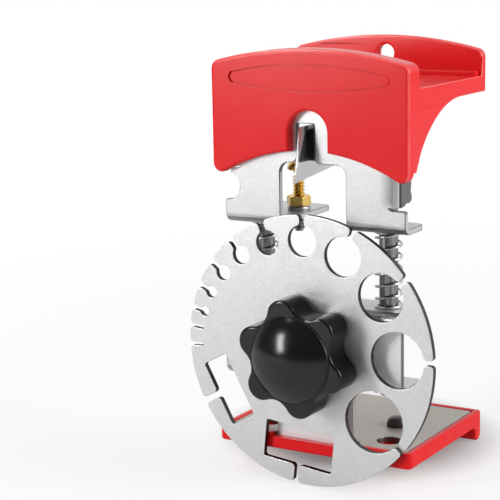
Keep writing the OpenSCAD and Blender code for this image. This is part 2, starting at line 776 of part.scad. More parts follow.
module ring(d, h) difference() {
    cylinder(d = d, h = h);
    translate([0, 0, -past]) cylinder(d = rod_d + 2 * tight_fit, h = h + 2 * past);
}

module rod_collars() place() color(dark_steel) translate([0, 0, foot_top]) at_rods() ring(collar_d, collar_h);

module rod_clips() place() color(dark_steel) translate([0, 0, tab_under - clip_t]) at_rods() difference() {
    ring(clip_d, clip_t);
    translate([-rod_d / 4, 0, -past]) cube([rod_d / 2, clip_d, clip_t + 2 * past]);
}

// Return spring: one swept wire whose ends stand on the shelf and under the foot
rings_per_turn = 8;
wire_sides = 6;
coil_r = (spring_d - spring_wire) / 2;
coil_low = shelf_z + spring_wire;
coil_high = foot_z - spring_wire;
coil_rings = spring_turns * rings_per_turn;
coil_start = 75;
function coil_point(i) = let (a = coil_start + 360 * i / rings_per_turn)
    [coil_r * cos(a), coil_r * sin(a), coil_low + (coil_high - coil_low) * i / coil_rings];
wire_path = concat(
    [[coil_point(0)[0], coil_point(0)[1], shelf_z]],
    [for (i = [0 : coil_rings]) coil_point(i)],
    [[coil_point(coil_rings)[0], coil_point(coil_rings)[1], foot_z]]);
wire_count = len(wire_path);

function unit(v) = v / norm(v);
function wire_way(i) = i == 0 || i == wire_count - 1 ? [0, 0, 1]
    : unit(unit(wire_path[i + 1] - wire_path[i]) + unit(wire_path[i] - wire_path[i - 1]));
function outward(i) = let (p = wire_path[i]) unit([p[0], p[1], 0]);
wire_rings = [for (i = [0 : wire_count - 1])
    let (w = wire_way(i), across = unit(cross(w, outward(i))), out = cross(across, w))
    [for (k = [0 : wire_sides - 1]) let (a = 360 * k / wire_sides)
        wire_path[i] + spring_wire / 2 * (cos(a) * out + sin(a) * across)]];
wire_points = [for (r = wire_rings) each r];
last_ring = (wire_count - 1) * wire_sides;
wire_faces = concat(
    [for (k = [1 : wire_sides - 2]) [0, k, k + 1]],
    [for (i = [0 : wire_count - 2], k = [0 : wire_sides - 1])
        let (a = i * wire_sides + k, b = i * wire_sides + (k + 1) % wire_sides)
        each [[a, a + wire_sides, b], [b, a + wire_sides, b + wire_sides]]],
    [for (k = [1 : wire_sides - 2]) [last_ring, last_ring + k + 1, last_ring + k]]);
// Least gap of the wire to itself, between points at least half a turn apart
wire_gap = min([for (i = [0 : wire_count - 1], j = [i + rings_per_turn / 2 : 1 : wire_count - 1])
    norm(wire_path[i] - wire_path[j])]) - spring_wire;
echo(least_spring_gap = wire_gap);

module return_spring(side) place() color(steel) translate([side * rod_x, rod_y, 0])
    polyhedron(points = wire_points, faces = wire_faces);

module return_spring_left() return_spring(-1);

module return_spring_right() return_spring(1);

// Depth stop

lock_z = foot_top + tap_h;
depth_head_z = lock_z + lock_t + depth_free;
module at_depth(z) translate([depth_x, depth_y, z]) children();

module depth_screw() place() color(brass) difference() {
    union() {
        at_depth(depth_tip) cylinder(d = depth_d, h = depth_head_z - depth_tip);
        at_depth(depth_head_z) cylinder(d = depth_head_d, h = depth_head_h);
    }
    at_depth(depth_head_z + depth_head_h * 0.55) translate([-depth_head_d, -0.6, 0])
        cube([2 * depth_head_d, 1.2, depth_head_h]);
}

module depth_lock_nut() place() color(brass) difference() {
    at_depth(lock_z) cylinder(d = lock_af / cos(30), h = lock_t, $fn = 6);
    at_depth(lock_z - past) cylinder(d = depth_d + 2 * run_fit, h = lock_t + 2 * past);
}

base_grip();
lower_bracket();
disc_spacer();
axle_nut();
return_spring_left();
return_spring_right();
selector_disc();
knob_washer();
star_knob();
knob_bolt();
top_handle();
blade_bracket();
blade_holder();
blade();
blade_screw();
blade_washer();
blade_nut();
guide_rod_left();
guide_rod_right();
rod_collars();
rod_clips();
depth_screw();
depth_lock_nut();
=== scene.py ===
import math

import bmesh
import bpy
from mathutils import Matrix, Vector


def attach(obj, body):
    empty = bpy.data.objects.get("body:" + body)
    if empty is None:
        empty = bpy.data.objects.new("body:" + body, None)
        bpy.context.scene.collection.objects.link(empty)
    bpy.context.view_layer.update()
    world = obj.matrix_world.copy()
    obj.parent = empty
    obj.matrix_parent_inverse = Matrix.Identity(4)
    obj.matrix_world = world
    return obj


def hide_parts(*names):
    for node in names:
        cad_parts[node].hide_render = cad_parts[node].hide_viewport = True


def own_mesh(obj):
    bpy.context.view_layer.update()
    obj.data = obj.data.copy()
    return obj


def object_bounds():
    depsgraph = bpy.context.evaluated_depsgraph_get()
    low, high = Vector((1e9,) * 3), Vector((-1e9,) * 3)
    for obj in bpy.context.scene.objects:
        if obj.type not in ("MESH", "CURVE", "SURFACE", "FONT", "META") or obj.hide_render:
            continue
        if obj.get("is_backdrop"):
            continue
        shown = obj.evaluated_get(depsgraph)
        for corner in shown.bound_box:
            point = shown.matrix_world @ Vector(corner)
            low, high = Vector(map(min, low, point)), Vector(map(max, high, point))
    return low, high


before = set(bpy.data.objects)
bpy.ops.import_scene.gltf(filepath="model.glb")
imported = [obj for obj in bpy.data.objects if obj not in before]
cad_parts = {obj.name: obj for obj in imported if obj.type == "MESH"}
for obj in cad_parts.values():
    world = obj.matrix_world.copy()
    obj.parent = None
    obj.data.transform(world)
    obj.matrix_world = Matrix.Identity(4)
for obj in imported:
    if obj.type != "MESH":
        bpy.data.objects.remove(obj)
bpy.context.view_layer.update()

# Moulded base: the red foot of the tool, a shallow tray for the steel plate with a lip under its back edge.
# One shot of red nylon; two posts stand through the plate and are melted over it to round heads, painted dark as shade.

# The origin of the frame lies 21.4 mm behind the disc's front and 44 mm under its axle
disc_front, axle_height = 21.4, 44


def at(x, y, z):
    """Millimetres to the right of the middle, behind the disc's front and above its axle, as a point in metres."""
    return Vector((x, y - disc_front, z + axle_height)) / 1000


def in_mm(point):
    """The same three distances of a point in metres."""
    return Vector((point.x * 1000, point.y * 1000 + disc_front, point.z * 1000 - axle_height))


def arc(u, v, r, start, end, steps):
    """Points on an arc round (u, v), with both ends, from one angle to the other in degrees."""
    turns = [math.radians(start + (end - start) * i / steps) for i in range(steps + 1)]
    return [(u + r * math.cos(t), v + r * math.sin(t)) for t in turns]


def alone(piece):
    """Makes the piece the only selected object."""
    bpy.ops.object.select_all(action="DESELECT")
    piece.select_set(True)
    bpy.context.view_layer.objects.active = piece
    return piece


def dress(piece, *finishes):
    """Gives the piece its finishes, the first one all over."""
    piece.data.materials.clear()
    for finish in finishes:
        piece.data.materials.append(finish)
    return piece


def outlined(name, points, fill, finishes):
    """A new piece that is only a ring of points, filled or open, in edit mode with all of it selected."""
    bpy.ops.object.select_all(action="DESELECT")
    bpy.ops.mesh.primitive_circle_add(vertices=len(points), fill_type=fill)
    piece = dress(bpy.context.object, *finishes)
    piece.name = piece.data.name = name
    for corner, point in zip(piece.data.vertices, points):
        corner.co = at(*point)
    bpy.ops.object.mode_set(mode="EDIT")
    bpy.ops.mesh.select_all(action="SELECT")
    return piece


def face_out():
    """Points all faces outward and leaves edit mode."""
    bpy.ops.mesh.select_all(action="SELECT")
    bpy.ops.mesh.normals_make_consistent(inside=False)
    bpy.ops.object.mode_set(mode="OBJECT")


def slab(name, corners, way, *finishes):
    """A plate whose outline goes through the corners, drawn out along way; a second finish goes on its cut edge."""
    piece = outlined(name, corners, "NGON", finishes)
    bpy.ops.mesh.extrude_region_move(TRANSFORM_OT_translate={"value": Vector(way) / 1000})
    face_out()
    if len(finishes) > 1:
        along = Vector(way).normalized()
        for face in piece.data.polygons:
            face.material_index = 0 if abs(face.normal.dot(along)) > 0.7 else 1
    return piece


def block(name, low, high, *finishes):
    """A box between two corners."""
    (x0, y0, z0), (x1, y1, z1) = low, high
    return slab(name, [(x0, y0, z0), (x1, y0, z0), (x1, y1, z0), (x0, y1, z0)], (0, 0, z1 - z0), *finishes)


def axis_point(axis, middle, a, b, h):
    """The point h along an axis through the middle, and a and b to its two sides."""
    x, y, z = middle
    return {"X": (x + h, y + a, z + b), "Y": (x + a, y + h, z + b), "Z": (x + a, y + b, z + h)}[axis]


# Points of one mesh that are nearer than this, in metres, are welded together
weld = 0.000002


def turned(name, profile, middle, axis, steps, *finishes):
    """A turned piece: a closed profile of (radius, length) pairs goes once round the axis through the middle."""
    piece = outlined(name, [axis_point(axis, middle, r, 0, h) for r, h in profile], "NOTHING", finishes)
    bpy.ops.mesh.spin(steps=steps, angle=2 * math.pi, center=at(*middle), axis=axis_point(axis, (0, 0, 0), 0, 0, 1))
    bpy.ops.mesh.select_all(action="SELECT")
    bpy.ops.mesh.remove_doubles(threshold=weld)
    bpy.ops.mesh.dissolve_degenerate(threshold=weld / 2)
    face_out()
    return piece


def bore(d, middle, axis, start, end, steps=48):
    """A plain round cutter along an axis, which is used up by the cut."""
    return turned("cutter", [(0, start), (d / 2, start), (d / 2, end), (0, end)], middle, axis, steps)


def shape(piece, tool, kind):
    """Cuts the tool out of the piece, welds it on or keeps what both hold; the tool is used up."""
    if kind != "UNION":
        dress(tool, *piece.data.materials)
        for face in tool.data.polygons:
            face.material_index = len(piece.data.materials) - 1
    change = piece.modifiers.new("shape", "BOOLEAN")
    change.object = tool
    change.operation = kind
    change.solver = "EXACT"
    alone(piece)
    bpy.ops.object.modifier_apply(modifier=change.name)
    bpy.data.objects.remove(tool)
    return piece


def clean(piece):
    """Joins what the cuts and welds left double, and makes one face of each flat one."""
    alone(piece)
    bpy.ops.object.mode_set(mode="EDIT")
    bpy.ops.mesh.select_all(action="SELECT")
    bpy.ops.mesh.remove_doubles(threshold=2 * weld)
    bpy.ops.mesh.dissolve_limited(angle_limit=math.radians(0.2), delimit={"MATERIAL"})
    bpy.ops.object.mode_set(mode="OBJECT")
    return piece


def round_off(piece, width, steps, rule=lambda middle, turn: turn > 0, least=35):
    """Rounds the edges that the rule picks by their middle and by how far they turn, outward edges above zero."""
    alone(piece)
    bpy.ops.object.mode_set(mode="EDIT")
    bpy.ops.mesh.select_mode(type="EDGE")
    bpy.ops.mesh.select_all(action="DESELECT")
    mesh = bmesh.from_edit_mesh(piece.data)
    for edge in mesh.edges:
        if len(edge.link_faces) == 2:
            turn = math.degrees(edge.calc_face_angle_signed(0))
            middle = in_mm((edge.verts[0].co + edge.verts[1].co) / 2)
            edge.select_set(abs(turn) > least and bool(rule(middle, turn)))
    bmesh.update_edit_mesh(piece.data)
    bpy.ops.mesh.bevel(offset=width / 1000, segments=steps, affect="EDGES", clamp_overlap=False)
    bpy.ops.object.mode_set(mode="OBJECT")
    return piece


def paint(piece, finishes, rule):
    """Adds finishes to the piece; the rule tells each face its finish by number, from its middle and its normal."""
    for finish in finishes:
        piece.data.materials.append(finish)
    for face in piece.data.polygons:
        face.material_index = rule(in_mm(face.center), face.normal)


def set_in(piece, body, slot, *nodes):
    """Smooths the piece and puts it on the body that carries it, in the place of its solids."""
    alone(piece)
    bpy.ops.object.shade_smooth_by_angle(angle=math.radians(38))
    even = piece.modifiers.new("even", "WEIGHTED_NORMAL")
    even.keep_sharp = True
    bpy.ops.object.modifier_apply(modifier=even.name)
    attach(piece, body)
    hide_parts(*nodes)
    return piece


class Tone:
    """A shader socket that takes part in sums, so that 0.3 + 0.1 * grain adds its own Math nodes."""

    def __init__(self, tree, socket=None):
        self.tree = tree
        self.socket = socket

    def make(self, kind, settings=(), values=(), out=0):
        """Adds a node, sets it up, fills its sockets with values or links and gives one of its outputs."""
        node = self.tree.nodes.new(kind)
        for name, value in dict(settings).items():
            if name == "stops":
                ramp = node.color_ramp.elements
                while len(ramp) < len(value):
                    ramp.new(0.5)
                for stop, (place, grey) in zip(ramp, value):
                    stop.position = place
                    stop.color = (grey, grey, grey, 1)
            else:
                setattr(node, name, value)
        for name, value in dict(values).items():
            if isinstance(value, Tone):
                self.tree.links.new(value.socket, node.inputs[name])
            else:
                node.inputs[name].default_value = value
        return Tone(self.tree, node.outputs[out] if node.outputs else None)

    def sum(self, operation, a, b):
        """A Math node on two values."""
        return self.make("ShaderNodeMath", {"operation": operation}, {0: a, 1: b})

    def __add__(self, other):
        return self.sum("ADD", self, other)

    def __radd__(self, other):
        return self.sum("ADD", other, self)

    def __sub__(self, other):
        return self.sum("SUBTRACT", self, other)

    def __rsub__(self, other):
        return self.sum("SUBTRACT", other, self)

    def __mul__(self, other):
        return self.sum("MULTIPLY", self, other)

    def __rmul__(self, other):
        return self.sum("MULTIPLY", other, self)

    def grain(self, scale, detail=2.0, stretch=None):
        """Cloudy pattern with spots of about 1 / scale metres, drawn out along an axis by stretch."""
        where = self
        if stretch:
            where = self.make("ShaderNodeMapping", {}, {"Vector": self, "Scale": stretch})
        return where.make("ShaderNodeTexNoise", {}, {"Vector": where, "Scale": scale, "Detail": detail})

    def steps(self, *stops):
        """The value passed through a grey ramp of (place, grey) stops."""
        return self.make("ShaderNodeValToRGB", {"stops": stops}, {"Fac": self})

    def between(self, low, high):
        """A colour that goes from low, which may be a tone itself, to high as the value goes from 0 to 1."""
        start = low if isinstance(low, Tone) else (*low, 1)
        return self.make("ShaderNodeMix", {"data_type": "RGBA"}, {0: self, 6: start, 7: (*high, 1)}, out=2)

    def relief(self, depth, strength):
        """A surface normal raised by the value, depth metres at the most."""
        return self.make("ShaderNodeBump", {}, {"Strength": strength, "Distance": depth, "Height": self})


def finish_of(name):
    """A new empty finish, and the piece's own coordinates in it."""
    finish = bpy.data.materials.new(name)
    finish.use_nodes = True
    finish.node_tree.nodes.clear()
    return finish, Tone(finish.node_tree).make("ShaderNodeTexCoord", out="Object")


def coat(where, values):
    """Closes a finish with its surface shader."""
    shader = where.make("ShaderNodeBsdfPrincipled", {}, values)
    where.make("ShaderNodeOutputMaterial", {}, {"Surface": shader})


def red_nylon(name, rough, texture, gloss):
    """Red moulded nylon with a fine spark-eroded grain."""
    finish, where = finish_of(name)
    cloud = where.grain(55, 3)
    skin = where.grain(2400, 2)
    coat(where, {
        "Base Color": (0.6 * cloud + 0.4 * skin).between((0.74, 0.007, 0.010), (0.88, 0.014, 0.018)),
        "Specular IOR Level": gloss,
        "Roughness": rough + 0.10 * (cloud - 0.5) + 0.12 * (skin - 0.5),
        "Normal": skin.relief(0.00012, texture),
        "IOR": 1.5,
    })
    return finish


base_red = red_nylon("base_red_nylon", rough=0.26, texture=0.10, gloss=0.15)
# Half the width, which the handle shares, and the places of the two posts
grip_half = 35
base_posts = [(-17.6, 29, 0), (17.6, 29, 0)]
base_front, base_back, base_top, base_under = 2.5, 57.9, -29.3, -34.4
lip_z, lip_r = -37.2, 2
tray_floor, over_rim = -31.5, -27
# The side outline: top, back with the lip, the rounded step under it and the underside
base_side = [(base_front, base_top), (base_back, base_top)] + arc(base_back - lip_r, lip_z, lip_r, 0, -90, 6)
base_side += arc(54.9, lip_z, lip_r, -90, -180, 6) + arc(51.4, -35.9, 1.5, 0, 90, 8) + [(base_front, base_under)]
base = slab("moulded_base", [(-grip_half, y, z) for y, z in base_side], (2 * grip_half, 0, 0), base_red)


def base_corner(m, turn):
    """True of the edges across the side faces: the upright corners and those of the lip."""
    return turn > 60 and abs(m.x) > grip_half - 0.1


round_off(base, 2.0, 5, lambda m, turn: base_corner(m, turn) and m.y < 2.6)
round_off(base, 1.4, 5, lambda m, turn: base_corner(m, turn) and (m.y > 57.8 or m.y > 55.9 and m.z < -37))
shape(base, block("tray", (-32.6, 4.9, tray_floor), (32.6, 55.5, over_rim)), "DIFFERENCE")
shape(base, block("back_gap", (-13.6, 55, tray_floor), (13.6, 59, over_rim)), "DIFFERENCE")
shape(base, block("front_gap", (-15, 1.5, -30.5), (15, 5.6, over_rim)), "DIFFERENCE")
clean(base)
round_off(base, 0.6, 4, lambda m, turn: turn > 0 and m.z > -29.6 or m.z < -34.1 or m.y < 2.7 and m.z < -30)
post = [(0, -32), (2, -32), (2, -29.5), (3.5, -29.5), (3.5, -28.5), (3.2, -27.4), (2.5, -26.7)]
post += [(1.4, -26.35), (0, -26.3)]
for spot in base_posts:
    shape(base, turned("post", post, spot, "Z", 32, base_red), "UNION")


def post_head_shade():
    """Dark, shiny nylon for the melted heads of the posts; the dark is painted shade."""
    finish, where = finish_of("post_head_painted_shade")
    cloud = where.grain(400, 3)
    coat(where, {
        "Base Color": cloud.between((0.012, 0.009, 0.009), (0.050, 0.030, 0.028)),
        "Roughness": 0.30 + 0.16 * (cloud - 0.5),
        "Normal": cloud.relief(0.0001, 0.3),
    })
    return finish


def base_finish(m, n):
    """1, the dark nylon of painted shade, on the heads of the posts."""
    return int(m.z > -29.55 and min(math.hypot(m.x - x, m.y - y) for x, y, z in base_posts) < 3.6)


paint(base, [post_head_shade()], base_finish)
set_in(base, "base", "red_plastic", "base_grip")

# Bent stand: one piece of 2 mm sheet steel. Its plate lies in the base, its stem rises behind the disc to a
# crossbar, and a shelf and two tabs are folded back from the crossbar to guide the rods.


def satin_steel(name, low, high, rough, grit, scale, metal=1.0, shade_past=None):
    """Sheet or bar steel with a blasted, slightly mottled skin; the last argument gives the x and z past which a
    painted shade darkens it.
    """
    finish, where = finish_of(name)
    mottle = where.grain(scale / 9, 4)
    spots = where.grain(scale, 2).steps((0.30, 0), (0.70, 1))
    pits = where.grain(scale * 2.3, 1).steps((0.30, 0), (0.46, 1))
    colour = (0.34 * mottle + 0.54 * spots + 0.12 * pits).between(low, high)
    if shade_past:
        # The ramps span 50 mm across and 200 mm up, and the painted shade sets in over 3.8 mm and 3 mm of them
        across, up = shade_past[0] / 50, (shade_past[1] + axle_height) / 200
        right = 20 * where.make("ShaderNodeSeparateXYZ", {}, {"Vector": where}, out="X")
        above = 5 * where.make("ShaderNodeSeparateXYZ", {}, {"Vector": where}, out="Z")
        right = right.steps((across, 0), (across + 0.076, 1))
        above = above.steps((up - 0.005, 0), (up + 0.01, 1))
        colour = (0.66 * right * above).between(colour, (0.10, 0.10, 0.10))
    coat(where, {
        "Base Color": colour,
        "Metallic": metal,
        "Roughness": rough + 0.16 * (mottle - 0.5) + 0.12 * (spots - 0.5),
        "Normal": spots.relief(0.00008, grit),
    })
    return finish


sheet_skin = satin_steel("sheet_steel_skin", (0.54, 0.54, 0.545), (0.72, 0.72, 0.725),
                         rough=0.36, grit=0.28, scale=2300, metal=0.68)
# Dark cut edges of the sheet; the flanges of the head carry the same dark as painted shade
cut_edge_and_flange_shade = satin_steel("sheet_steel_cut_edge_and_flange_shade", (0.10, 0.10, 0.105), (0.26, 0.26, 0.27),
                         rough=0.44, grit=0.5, scale=2600)
# A darker skin for folds and the tapped collar: painted shade
fold_shade = satin_steel("sheet_steel_fold_shade", (0.26, 0.26, 0.265), (0.44, 0.44, 0.445),
                         rough=0.34, grit=0.30, scale=2300)
# The thickness of the sheet, and how far the front of both bent pieces is behind the disc's front
sheet, sheet_front = 2, 5


def folded(name, z_corner, z_end, back, x0, x1, up, r=3.2):
    """A strip of the front sheet from z_end to a fold of radius r at z_corner, and on from it to depth back."""
    s = 1 if up else -1
    outer = arc(sheet_front + r, r, r, 180, 270, 8)
    inner = arc(sheet_front + r, r, r - sheet, 270, 180, 8)
    out = [(sheet_front, z_end), (sheet_front, z_corner + r * s)] + [(y, z_corner + s * v) for y, v in outer]
    out += [(back, z_corner), (back, z_corner + sheet * s)]
    out += [(y, z_corner + s * v) for y, v in inner] + [(sheet_front + sheet, z_end)]
    return slab(name, [(x0, y, z) for y, z in out], (x1 - x0, 0, 0), sheet_skin)


def round_corners(points, r, steps=6):
    """The same outline with each corner rounded; a point may carry its own radius as a third number."""
    out = []
    for i, point in enumerate(points):
        here = Vector(point[:2])
        before = (Vector(points[i - 1][:2]) - here).normalized()
        after = (Vector(points[(i + 1) % len(points)][:2]) - here).normalized()
        radius = point[2] if len(point) > 2 else r
        half = before.angle(after) / 2
        if radius < 0.01 or half > math.radians(89):
            out.append(tuple(here))
            continue
        reach = radius / math.tan(half)
        middle = here + (before + after).normalized() * radius / math.sin(half)
        a, b = here + before * reach - middle, here + after * reach - middle
        for k in range(steps + 1):
            spot = a.lerp(b, k / steps)
            out.append(tuple(middle + spot.normalized() * radius))
    return out


shelf_top, tab_under = 14.2, -12
bar_left, bar_right = -33.2, 30.8
tab_back, left_tab_back = 21, 30
stem_half, plate_half, plate_top = 14, 32.5, tray_floor + sheet
rods = [(-22.3, 13.5, 0), (22.3, 13.5, 0)]
bolt_hole = 6.1
stand = folded("bent_stand", shelf_top, -8.7, tab_back, bar_left, bar_right, False)
shelf = round_corners([(-30.8, 19, 0), (-1, 19, 0), (-1, 37, 2), (-30.8, 37, 2)], 0)
shelf = slab("long_shelf", [(x, y, shelf_top - sheet) for x, y in shelf], (0, 0, sheet), sheet_skin)
shape(stand, shelf, "UNION")
shape(stand, folded("right_tab", tab_under, -8, tab_back, 15.2, bar_right, True), "UNION")
shape(stand, folded("left_tab", tab_under, -8, left_tab_back, bar_left, -15.2, True), "UNION")
shape(stand, folded("stem", tray_floor, 10, 20, -stem_half, stem_half, True, r=2.2), "UNION")
shape(stand, block("stem_heel", (-stem_half, sheet_front, -31.1), (stem_half, 7.6, -28.9), sheet_skin), "UNION")
plate = round_corners([(-plate_half, 8.2), (plate_half, 8.2), (plate_half, 55.4), (-plate_half, 55.4)], 1.5)
shape(stand, slab("base_plate", [(x, y, tray_floor) for x, y in plate], (0, 0, sheet), sheet_skin), "UNION")
shape(stand, block("plate_back", (-13.5, 54, tray_floor), (13.5, 57.6, plate_top), sheet_skin), "UNION")
for x in (-plate_half, 14.6):
    tongue = block("plate_front", (x, sheet_front, tray_floor), (x + 17.9, 9, plate_top), sheet_skin)
    shape(stand, tongue, "UNION")
shape(stand, bore(bolt_hole, (0, 0, 0), "Y", 4, 9), "DIFFERENCE")
for spot in rods:
    shape(stand, bore(6.1, spot, "Z", -14, 16), "DIFFERENCE")
    shape(stand, bore(8, spot, "Z", -33, -28), "DIFFERENCE")
for spot in base_posts:
    shape(stand, bore(4, spot, "Z", -33, -28), "DIFFERENCE")
clean(stand)


def tab_corner(m, turn):
    """True of the free outer corners of the tabs and the shelf."""
    return turn > 60 and abs(m.x) > 30.7 and min(abs(m.y - tab_back), abs(m.y - left_tab_back)) < 0.1


round_off(stand, 2.0, 6, tab_corner)
round_off(stand, 0.28, 2)


def stand_finish(m, n):
    """1 on cut edges, 2 on the plate in the base, 3, a painted shade, on the fold of the shelf, 4, a paler skin of
    painted light, on the front and else 0.
    """
    side = abs(n.x) > 0.8 and abs(m.x) > 15
    back = n.y > 0.8 and m.y > 20 or abs(n.y) > 0.6 and m.z < -29
    if side or back:
        return 1
    if n.z > 0.8 and m.z < -29.4:
        return 2
    if 0.25 < n.z < 0.97 and 10 < m.z < 14.3 and m.y < 8.3:
        return 3
    return 4 if n.y < -0.97 and m.y < 5.1 and m.z > -29 else 0


plate_skin = satin_steel("plate_steel_skin", (0.34, 0.31, 0.28), (0.54, 0.50, 0.45),
                         rough=0.42, grit=0.34, scale=1600, metal=0.45)
# A paler skin for the front of the stand: painted light that evens out the shadow of the disc on it
stand_front_light = satin_steel("stand_front_painted_light", (0.76, 0.76, 0.765), (0.90, 0.90, 0.905),
                         rough=0.42, grit=0.26, scale=2300, metal=0.40)
paint(stand, [cut_edge_and_flange_shade, plate_skin, fold_shade, stand_front_light], stand_finish)
set_in(stand, "base", "sheet_steel", "lower_bracket")

# Disc bush and axle nut: a plain turned bush that holds the disc off the stand, and the hexagon nut that takes
# the knob's bolt behind it. Both are bright zinc-plated steel.

plated = satin_steel("zinc_plated_steel", (0.50, 0.50, 0.51), (0.70, 0.70, 0.72), rough=0.26, grit=0.12, scale=1800)


def ring(inner, outer, start, end, ease):
    """The profile of a ring with eased rims."""
    return [(inner, start), (outer - ease, start), (outer, start + ease), (outer, end - ease), (outer - ease, end),
            (inner, end)]


def hexagon_nut(name, flats, start, end, bolt, middle, axis, angle, finish):
    """A hexagon nut with turned-off corners and a countersunk thread."""
    r = flats / math.sqrt(3)
    inner, face = bolt / 2, flats / 2 - 0.1
    profile = [(inner, start + 0.4), (inner + 0.5, start), (face, start), (r, start + 0.55)]
    profile += [(r, end - 0.55), (face, end), (inner + 0.5, end), (inner, end - 0.4)]
    body = turned(name, profile, middle, axis, 72, finish)
    turns = [math.radians(angle + 60 * i) for i in range(6)]
    corners = [axis_point(axis, middle, r * math.cos(t), r * math.sin(t), start - 1) for t in turns]
    prism = slab("prism", corners, axis_point(axis, (0, 0, 0), 0, 0, end - start + 2))
    shape(body, prism, "INTERSECT")
    clean(body)
    return round_off(body, 0.12, 2, least=30)


bush = turned("disc_bush", ring(bolt_hole / 2, 8, 2, 5, 0.3), (0, 0, 0), "Y", 64, plated)
set_in(bush, "base", "dark_steel", "disc_spacer")
axle = hexagon_nut("axle_hexagon_nut", 10, 7, 12, bolt_hole, (0, 0, 0), "Y", 30, plated)
set_in(axle, "base", "dark_steel", "axle_nut")

# Selector disc: 2 mm steel, punched with ten graded cable holes, two slits for bare wire and two windows for flat
# cable, all open to the rim. Blasted to a light grain; the punched edges stay dark.

disc_skin = satin_steel("disc_blasted_steel", (0.62, 0.62, 0.625), (0.81, 0.81, 0.81),
                        rough=0.36, grit=0.32, scale=2500, metal=0.70)
# The dark of the punched edges also goes in the crease of the head's right flange, as painted shade
punched_edge_and_crease_shade = satin_steel("disc_punched_edge_and_crease_shade", (0.025, 0.025, 0.027), (0.085, 0.085, 0.09),
                        rough=0.40, grit=0.4, scale=2600)
# The disc's radius, the rounding of each mouth, and the steel between the rim and a hole or a window
rim, lip, hole_land, window_land = 44, 1.2, 3.2, 6
cable_holes = [20, 18, 15.4, 12.8, 10.2, 8, 6.2, 5.2, 4, 3.2]
hole_turns = [-39.77, 1.87, 37.68, 67.46, 91.76, 112.09, 128.77, 142.99, 155.37, 166.11]
wire_turns = [174.36, 182.61]


def mouth(width):
    """Rounded lip of a slit at the rim, from the rim down to the slit's right side; and the rim angle it takes."""
    u = width / 2 + lip
    v = math.sqrt((rim - lip) ** 2 - u ** 2)
    lean = math.degrees(math.atan2(v, u))
    return arc(u, v, lip, lean, 180, 7), 90 - lean


def mirrored(right):
    """The right half of an opening and then its left half."""
    return right + [(-u, v) for u, v in reversed(right)]


def cable_opening(d):
    """Outline of a cable hole with its slit, the disc's middle at (0, 0) and the slit upward."""
    width = 1.5 if d > 10 else min(2, d / 2.2)
    middle = rim - hole_land - d / 2
    right, lean = mouth(width)
    u = width / 2 + lip
    v = math.sqrt((d / 2 + lip) ** 2 - u ** 2)
    turn = math.degrees(math.atan2(v, u))
    right = right + arc(u, middle + v, lip, 180, 180 + turn, 6)
    return mirrored(right + arc(0, middle, d / 2, turn, -90, 30)[1:-1]), lean


def window_opening(length, height, width):
    """Outline of a window for flat cable with its slit."""
    top = rim - window_land
    right, lean = mouth(width)
    half, r = length / 2, 0.8
    right = right + arc(width / 2 + lip, top + lip, lip, 180, 270, 6)
    right += arc(half - r, top - r, r, 90, 0, 4) + arc(half - r, top - height + r, r, 0, -90, 4)
    return mirrored(right), lean


def wire_opening():
    """Outline of a plain slit with a round end."""
    right, lean = mouth(1.2)
    return mirrored(right + arc(0, rim - 4.6, 0.6, 0, -90, 6)[:-1]), lean


openings = [(turn, cable_opening(d)) for turn, d in zip(hole_turns, cable_holes)]
openings += [(turn, wire_opening()) for turn in wire_turns]
openings += [(208.44, window_opening(22, 9.4, 2)), (263.84, window_opening(24.8, 12.6, 1.5))]
outline = []
for i, (turn, (points, lean)) in enumerate(openings):
    phi = math.radians(turn - 90)
    outline += [(u * math.cos(phi) - v * math.sin(phi), u * math.sin(phi) + v * math.cos(phi)) for u, v in points]
    after = openings[(i + 1) % len(openings)]
    end = after[0] - after[1][1] + (360 if i == len(openings) - 1 else 0)
    start = turn + lean
    outline += arc(0, 0, rim, start, end, max(2, round((end - start) / 1.2)))[1:-1]
disc = slab("punched_disc", [(x, 0, z) for x, z in outline], (0, sheet, 0), disc_skin, punched_edge_and_crease_shade)
shape(disc, bore(bolt_hole, (0, 0, 0), "Y", -1, 3), "DIFFERENCE")
round_off(disc, 0.22, 2, lambda m, turn: turn > 60)
set_in(disc, "disc", "disc_steel", "selector_disc")

# Knob: a six-lobed black knob moulded round a steel stud, with a domed crown and a thin ridge round the dome.
# A flat washer lies between it and the disc.


def black_plastic():
    """Glossy black moulded plastic."""
    finish, where = finish_of("black_knob_plastic")
    cloud = where.grain(90, 3)
    skin = where.grain(1900, 2)
    coat(where, {
        "Base Color": cloud.between((0.005, 0.005, 0.006), (0.012, 0.012, 0.013)),
        "Roughness": 0.19 + 0.06 * (cloud - 0.5) + 0.04 * (skin - 0.5),
        "Normal": skin.relief(0.00006, 0.10),
        "Specular IOR Level": 0.44,
        "IOR": 1.5,
    })
    return finish


black = black_plastic()
# Lobes and dips are arcs that meet where a lobe has gone 69.65 degrees round to each side
lobe_out, lobe_r, dip_out, dip_r, touch = 14, 5, 20.57, 5.97, 69.65
knob_back, knob_deep, crown_tip = -0.8, 10.4, -16.6
dome_r, dome_high, dome_edge = 14, 5.4, 13.55


def spoke(r, turn):
    """The point at a distance from the middle, in a direction in degrees."""
    return r * math.cos(math.radians(turn)), r * math.sin(math.radians(turn))


star = []
for k in range(6):
    here = 42 + 60 * k
    star += arc(*spoke(lobe_out, here), lobe_r, here - touch, here + touch, 18)
    star += arc(*spoke(dip_out, here + 30), dip_r, here + 180 + touch, here + 240 - touch, 12)[1:-1]
knob = slab("lobed_knob", [(x, knob_back, z) for x, z in star], (0, -knob_deep, 0), black)
round_off(knob, 0.9, 5, lambda m, turn: m.y < -10.9)
round_off(knob, 0.8, 3, lambda m, turn: m.y > -1.0)
ball = (dome_r ** 2 + dome_high ** 2) / (2 * dome_high)
dome_turn = math.degrees(math.asin(dome_edge / ball))
